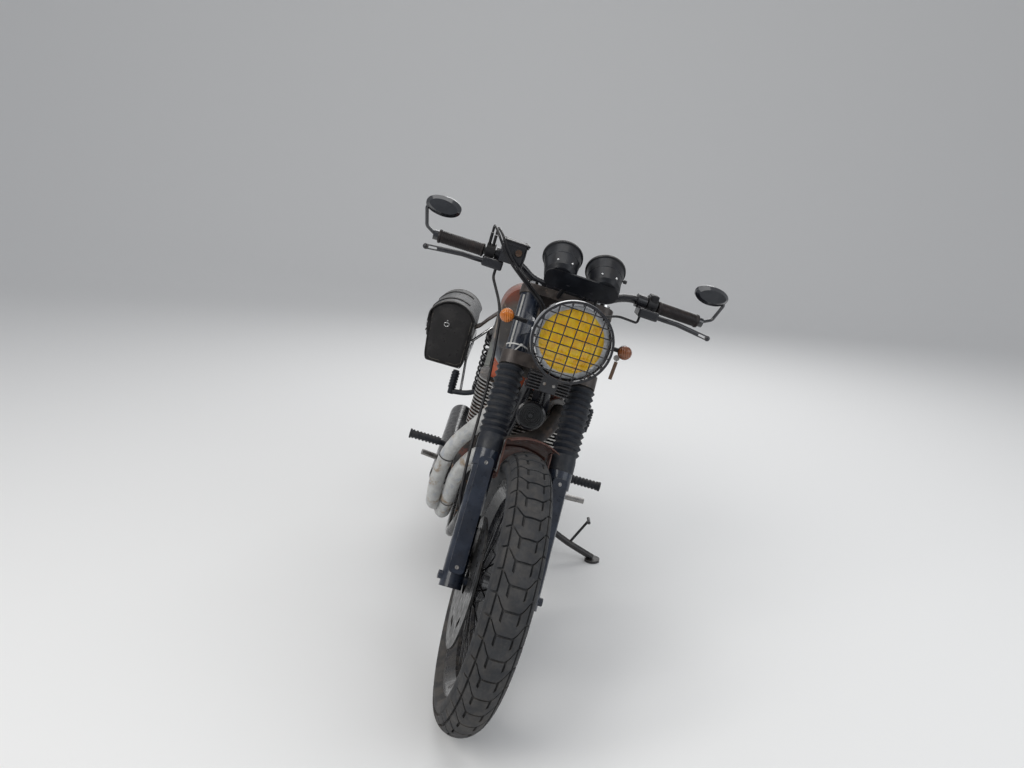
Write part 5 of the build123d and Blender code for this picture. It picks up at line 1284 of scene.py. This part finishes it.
def makeGauges():
    level, radius, half = gaugeSet["level"], gaugeSet["radius"], gaugeSet["tickWide"]
    dials, marks, needles, panes, bolts, rims = [], [], [], [], [], []
    for side in (-1, 1):
        place = moved(side * gaugeSet["side"], gaugeSet["y"], gaugeSet["z"]) @ turned(gaugeSet["tilt"], "X")
        dial = lathed("dialFace", [(0, level), (radius, level), (radius, level + 0.25), (0, level + 0.25)])
        dials.append(placed(dial, place))
        for index in range(gaugeSet["ticks"] + 1):
            tip = radius - gaugeSet["tickIn"]
            root = tip - gaugeSet["long" if index % 4 == 0 else "short"]
            tick = boxPiece("dialTick", (-half, root, level + 0.2), (half, tip, level + 0.45), 0)
            turn = gaugeSet["tickStart"] - gaugeSet["tickSweep"] * index / gaugeSet["ticks"]
            marks.append(placed(tick, place @ turned(turn, "Z")))
        marks.append(placed(ringPiece("dialRing", 12.0, 12.8, level + 0.2, level + 0.45, 32), place))
        hub = lathed("needleHub", [(0, level + 2.0), (3.6, level + 1.8), (4.4, level + 1.0), (4.4, level + 0.2),
                                   (0, level + 0.2)], 24)
        arm = boxPiece("needleArm", (-0.8, -9, level + 0.9), (0.8, 34, level + 1.5), 0.2)
        needles.append(placed(joinPieces("dialNeedle", [hub, arm]), place @ turned(gaugeSet["needleTurn"], "Z")))
        pane = lathed("dialPane", [(0, 0.1), (22, -0.2), (43.4, -1.4), (43.4, -2.1), (22, -0.9), (0, -0.6)])
        panes.append(placed(pane, place))
        rim = lathed("gaugeBezel", [(43.6, -2.2), (45, -0.5), (47.2, 0.35), (49.6, -1.2), (50.3, -2.6), (50.3, -7.6),
                                    (49.6, -8.4), (46.5, -8.6), (43.6, -2.2)], 56)
        rims.append(placed(rim, place))
        for x, y in gaugeSet["bolts"]:
            cap = lathed("gaugeBolt", [(0, 4.4), (1.8, 3.9), (2.9, 2.4), (3.1, 0.6), (3.1, -1.0), (0, -1.0)], 16)
            bolts.append(placed(cap, place @ facing((x, y, gaugeSet["boltLevel"]), (0, -1, -0.15)) @ moved(0, 0, -6)))
        if side > 0:
            knob = lathed("resetKnob", [(0, 14), (4.0, 13.4), (4.8, 12), (4.8, 6), (2.4, 5.4), (2.4, -6), (0, -6)], 20)
            rims.append(placed(knob, place @ facing(gaugeSet["knob"], (1, 0, 0))))
    for name, parts, finishName, smooth in (
            ("dialFaces", dials, "dialFace", 35), ("dialTicks", marks, "dialPaint", 0),
            ("dialNeedles", needles, "needleRed", 35), ("dialPanes", panes, "clearPane", 60),
            ("gaugeBezels", rims, "blackPlastic", 40), ("gaugeBolts", bolts, "chrome", 40)):
        setDown(joinPieces(name, parts), "steering", finishName, smooth)


makeGauges()
print("gauges dressed")

# Grips with moulded ribs, in place of the plain sleeves
gripSet = {"tip": (362.0, 415.0, 1036.0), "knee": (156.0, 385.0, 1041.0), "radius": 16.4, "bore": 11.2, "length": 122.0,
           "ribs": 22, "rib": 1.1, "start": 8, "ends": 16}


def mirrored(place, side):
    return Vector((side * place[0], *place[1:]))


def makeGrips():
    grips = []
    length, radius, bore = gripSet["length"], gripSet["radius"], gripSet["bore"]
    root = radius - gripSet["rib"]
    profile = [(bore, 0.2), (radius + 1.0, 0.2), (radius + 1.6, 2.0), (radius + 1.6, 5.0), (radius - 0.4, 7.0)]
    pitch = (length - gripSet["ends"]) / gripSet["ribs"]
    for index in range(gripSet["ribs"]):
        start = gripSet["start"] + index * pitch
        profile += [(root, start), (root, start + pitch * 0.3), (radius, start + pitch * 0.42),
                    (radius, start + pitch * 0.9)]
    profile += [(radius - 0.6, length - 7), (radius + 1.0, length - 5), (radius + 1.0, length - 2),
                (radius - 1, length), (bore, length), profile[0]]
    for side in (-1, 1):
        tip, knee = mirrored(gripSet["tip"], side), mirrored(gripSet["knee"], side)
        grips.append(placed(lathed("ribbedGrip", profile, 36), facing(tip, knee - tip)))
    standFor(setDown(joinPieces("ribbedGrips", grips), "steering", "gripRubber", 30), "grips")


makeGrips()
print("grips ribbed")

# Lamps: amber and red lenses on the black bodies
smallLamps = {"right": (-150, 190, 929), "left": (150, 190, 929), "rearPlaces": [(-140, 1340, 778), (140, 1340, 778)],
              "tail": (0, 1352, 782), "radius": 17.2, "low": 5.0, "high": 16.9}


def lensDome(name):
    radius, low, tall = smallLamps["radius"], smallLamps["low"], smallLamps["high"] - smallLamps["low"]
    dome = [(radius * wide, low + tall * up) for wide, up in ((1, 0), (0.985, 0.35), (0.86, 0.66), (0.55, 0.9), (0, 1))]
    return lathed(name, [(0, low), (radius, low)] + dome[1:], 40)


def makeSmallLamps():
    for key, finishName in (("right", "amberLens"), ("left", "amberDull")):
        lens = joinPieces(key + "IndicatorLens", [lensDome("indicatorLens")])
        setDown(lens, "steering", finishName, 60, facing(smallLamps[key], (0, -1, 0)))
    rear = [placed(lensDome("rearLens"), facing(place, (0, 1, 0))) for place in smallLamps["rearPlaces"]]
    setDown(joinPieces("rearIndicatorLenses", rear), "chassis", "amberLens", 60)
    local = facing(smallLamps["tail"], (0, 1, 0))
    tail = lathed("tailLens", [(0, 9), (34.3, 9), (34.2, 12), (31, 17.5), (28, 18.8), (14, 21.6), (0, 22.8)])
    setDown(tail, "chassis", "redLens", 50, local)
    bezel = lathed("tailBezel", [(34.1, 6.4), (35.2, 6.4), (35.6, 8), (35.2, 10.4), (34.1, 10.6), (34.1, 6.4)])
    setDown(bezel, "chassis", "chrome", 35, local)


makeSmallLamps()

# Bar-end mirrors: domed shell and glass, drawn round and drawn out to an oval
mirrorSet = {"place": (372.0, 412.0, 1112.0), "wide": 46.0, "tall": 25.0, "swell": 15.0, "tilt": -0.06, "grow": 0.4,
             "paneIn": 2.4, "paneLevel": -9.6}


def makeMirrors():
    shells, panes = [], []
    wide, tall, grow, paneIn = (mirrorSet[key] for key in ("wide", "tall", "grow", "paneIn"))
    dome = [(math.cos(math.radians(rise)), math.sin(math.radians(rise))) for rise in range(0, 90, 9)]
    for side in (-1, 1):
        shell = lathed("mirrorShell", dome + [(0.0, 1.0)])
        startEdit(shell, "DESELECT")
        bpy.ops.mesh.select_non_manifold()
        bpy.ops.mesh.edge_face_add()
        bpy.ops.mesh.select_all(action="SELECT")
        bpy.ops.mesh.normals_make_consistent(inside=False)
        endEdit()
        place = (moved(mirrored(mirrorSet["place"], side)) @ Matrix.Rotation(-side * mirrorSet["tilt"], 4, "Y")
                 @ turned(90, "X"))
        shells.append(placed(shell, place @ Matrix.Diagonal((wide + grow, tall + grow, mirrorSet["swell"], 1))))
        pane = lathed("mirrorPane", [(0, 0.0), (1, 0.0), (1, 0.5), (0.97, 0.9), (0, 0.9)])
        flat = Matrix.Diagonal((wide - paneIn, tall - paneIn, 1, 1))
        panes.append(placed(pane, place @ moved(0, 0, mirrorSet["paneLevel"]) @ flat))
    setDown(joinPieces("mirrorShells", shells), "steering", "glossBlack", 70)
    setDown(joinPieces("mirrorPanes", panes), "steering", "mirrorGlass", 40)


makeMirrors()

hornSet = {"place": (0, 330, 672), "direction": (0, -1, 0.12), "rings": (9, 14, 19, 24, 29), "half": 1.4,
           "radius": 33.0}


def makeHornFace():
    profile = [(0, 8.2), (5, 8.2), (6.4, 6.6)]
    for ring in hornSet["rings"]:
        profile += [(ring - hornSet["half"], 5.0), (ring, 7.2), (ring + hornSet["half"], 5.0)]
    profile += [(hornSet["radius"], 5.4), (hornSet["radius"] + 0.4, 3.0), (0, 3.0)]
    setDown(lathed("hornFace", profile, 56), "chassis", "hornGrey", 40, facing(hornSet["place"], hornSet["direction"]))


makeHornFace()
print("lamps, mirrors and horn dressed")

# Small trim of the front: key and tag
keySet = {"stalk": (141.0, 197.6, 934.8), "ring": 9.0, "ringWire": 0.8, "cord": 20.0, "cordThick": 0.9, "tag": 46.0,
          "tagHalf": (4.5, 1.0)}


def makeKey():
    x, y, top = keySet["stalk"]
    radius, cordLong = keySet["ring"], keySet["cord"]
    hang = top - 2 * radius
    turns = [math.tau * step / 8 for step in range(8)]
    loop = [(x, y + radius * 1.1 * math.cos(turn), top - radius + radius * 1.1 * math.sin(turn)) for turn in turns]
    ring = tubePiece("keyRing", loop, keySet["ringWire"], closed=True)
    cord = tubePiece("keyCord", [(x, y, hang + 0.4), (x + 0.6, y, hang - cordLong / 2), (x, y, hang - cordLong)],
                     keySet["cordThick"])
    bow = lathed("keyBow", [(0, -1.0), (7, -1.0), (7.6, 0), (7, 1.0), (0, 1.0)], 24)
    placed(bow, facing((x - 2, y + 1.6, hang - 8), (0.3, 1, 0)))
    setDown(joinPieces("keyRing", [ring, cord, bow]), "steering", "steel", 50)
    high = hang - cordLong + 3
    wide, deep = keySet["tagHalf"]
    tag = boxPiece("keyTag", (x - wide, y - deep, high - keySet["tag"]), (x + wide, y + deep, high), 0.7)
    setDown(tag, "steering", "tagLeather", 40)


makeKey()

# Fork: leg bolts, painted highlights on the upper tubes (cream and gold strips standing for reflections on the glossy
# black), a cable tie; and the regulator's screws
forkSet = {"side": 93, "boltLevels": (24, 276), "boltOut": 32.8, "bolt": (3.4, 2.4, 14), "highlightTurn": 42.0,
           "highlightHalf": 3.0, "highlightDeep": (26.4, 27.6), "highlightSpan": (572, 716), "tieLevel": 582.0,
           "tieLock": ((-90, -32.5, -3), (-84, -27.6, 3)),
           "tieTail": (1.6, 0.6, 27), "tailAt": (-87, -30.4, 1), "tailTurn": 34, "regulator": (12, 176.2, 799),
           "screw": (2.8, 1.6, 6)}


def makeForkTrim():
    legSide, legBack = forkSet["side"], -park["axisForward"]
    face = legBack - forkSet["boltOut"]
    spots = [((x, face, level), (0, -1, 0)) for x in (-legSide, legSide) for level in forkSet["boltLevels"]]
    boltSet("guardBolts", "steering", "steel", spots, forkSet["bolt"], forkSpace)
    # Cream and gold strips on the tubes' front-outer edges: painted reflection highlights of the glossy black tubes
    half, (inside, outside), (low, high) = forkSet["highlightHalf"], forkSet["highlightDeep"], forkSet["highlightSpan"]
    for side, finishName, name in ((-1, "creamPaintedHighlight", "rightPaintedHighlight"), (1, "goldPaintedHighlight", "leftPaintedHighlight")):
        highlightStrip = boxPiece(name, (inside, -half, low), (outside, half, high), 0.4)
        placed(highlightStrip, moved(side * legSide, legBack, 0) @ turned(side * (90 - forkSet["highlightTurn"]) - 90, "Z"))
        setDown(highlightStrip, "steering", finishName, 35, forkSpace)
    x, y, z = forkSet["regulator"]
    spots = [((end * x, y, z), (0, -1, 0)) for end in (-1, 1)]
    boltSet("regulatorScrews", "steering", "steel", spots, forkSet["screw"])
    tieMid = Vector((0, legBack, forkSet["tieLevel"]))
    loop = placed(ringPiece("tieLoop", 27.1, 28.3, -1.8, 1.8, 40), moved(-legSide, *tieMid.yz))
    lock = boxPiece("tieLock", *(tieMid + Vector(corner) for corner in forkSet["tieLock"]), 0.6)
    wide, thick, long = forkSet["tieTail"]
    tail = boxPiece("tieTail", (-wide, -thick, -long), (wide, thick, 0), 0.3)
    placed(tail, moved(*(tieMid + Vector(forkSet["tailAt"]))) @ turned(forkSet["tailTurn"], "Y"))
    setDown(joinPieces("cableTie", [loop, lock, tail]), "steering", "paleNylon", 30, forkSpace)


makeForkTrim()
print("front trim placed")

# Brake reservoir: lid with its screws, and sight glass
reservoirSet = {"low": (-206.0, 335.0, 1083.5), "high": (-134.0, 397.0, 1089.5), "screwIn": 8, "screw": (2.8, 1.6, 12),
                "sight": (-158.0, 338.9, 1064.0), "sightRadius": 9.0}


def makeReservoir():
    (left, front, low), (right, back, high) = reservoirSet["low"], reservoirSet["high"]
    setDown(boxPiece("reservoirLid", (left, front, low), (right, back, high), 2.0, 3), "steering", "blackPlastic", 40)
    inset = reservoirSet["screwIn"]
    spots = [((x, y, high - 0.6), (0, 0, 1)) for x in (left + inset, right - inset)
             for y in (front + inset, back - inset)]
    boltSet("lidScrews", "steering", "steel", spots, reservoirSet["screw"])
    local, radius = facing(reservoirSet["sight"], (0, -1, 0)), reservoirSet["sightRadius"]
    ring = lathed("sightRing", [(radius, 0), (radius + 2.4, 0), (radius + 2.4, 1.6), (radius, 2.2), (radius, 0)], 32)
    setDown(ring, "steering", "blackPlastic", 35, local)
    glass = lathed("sightGlass", [(0, 0), (radius, 0), (radius, 1.2), (4, 1.8), (0, 1.9)], 32)
    setDown(glass, "steering", "sightAmber", 60, local)


makeReservoir()
print("reservoir dressed")
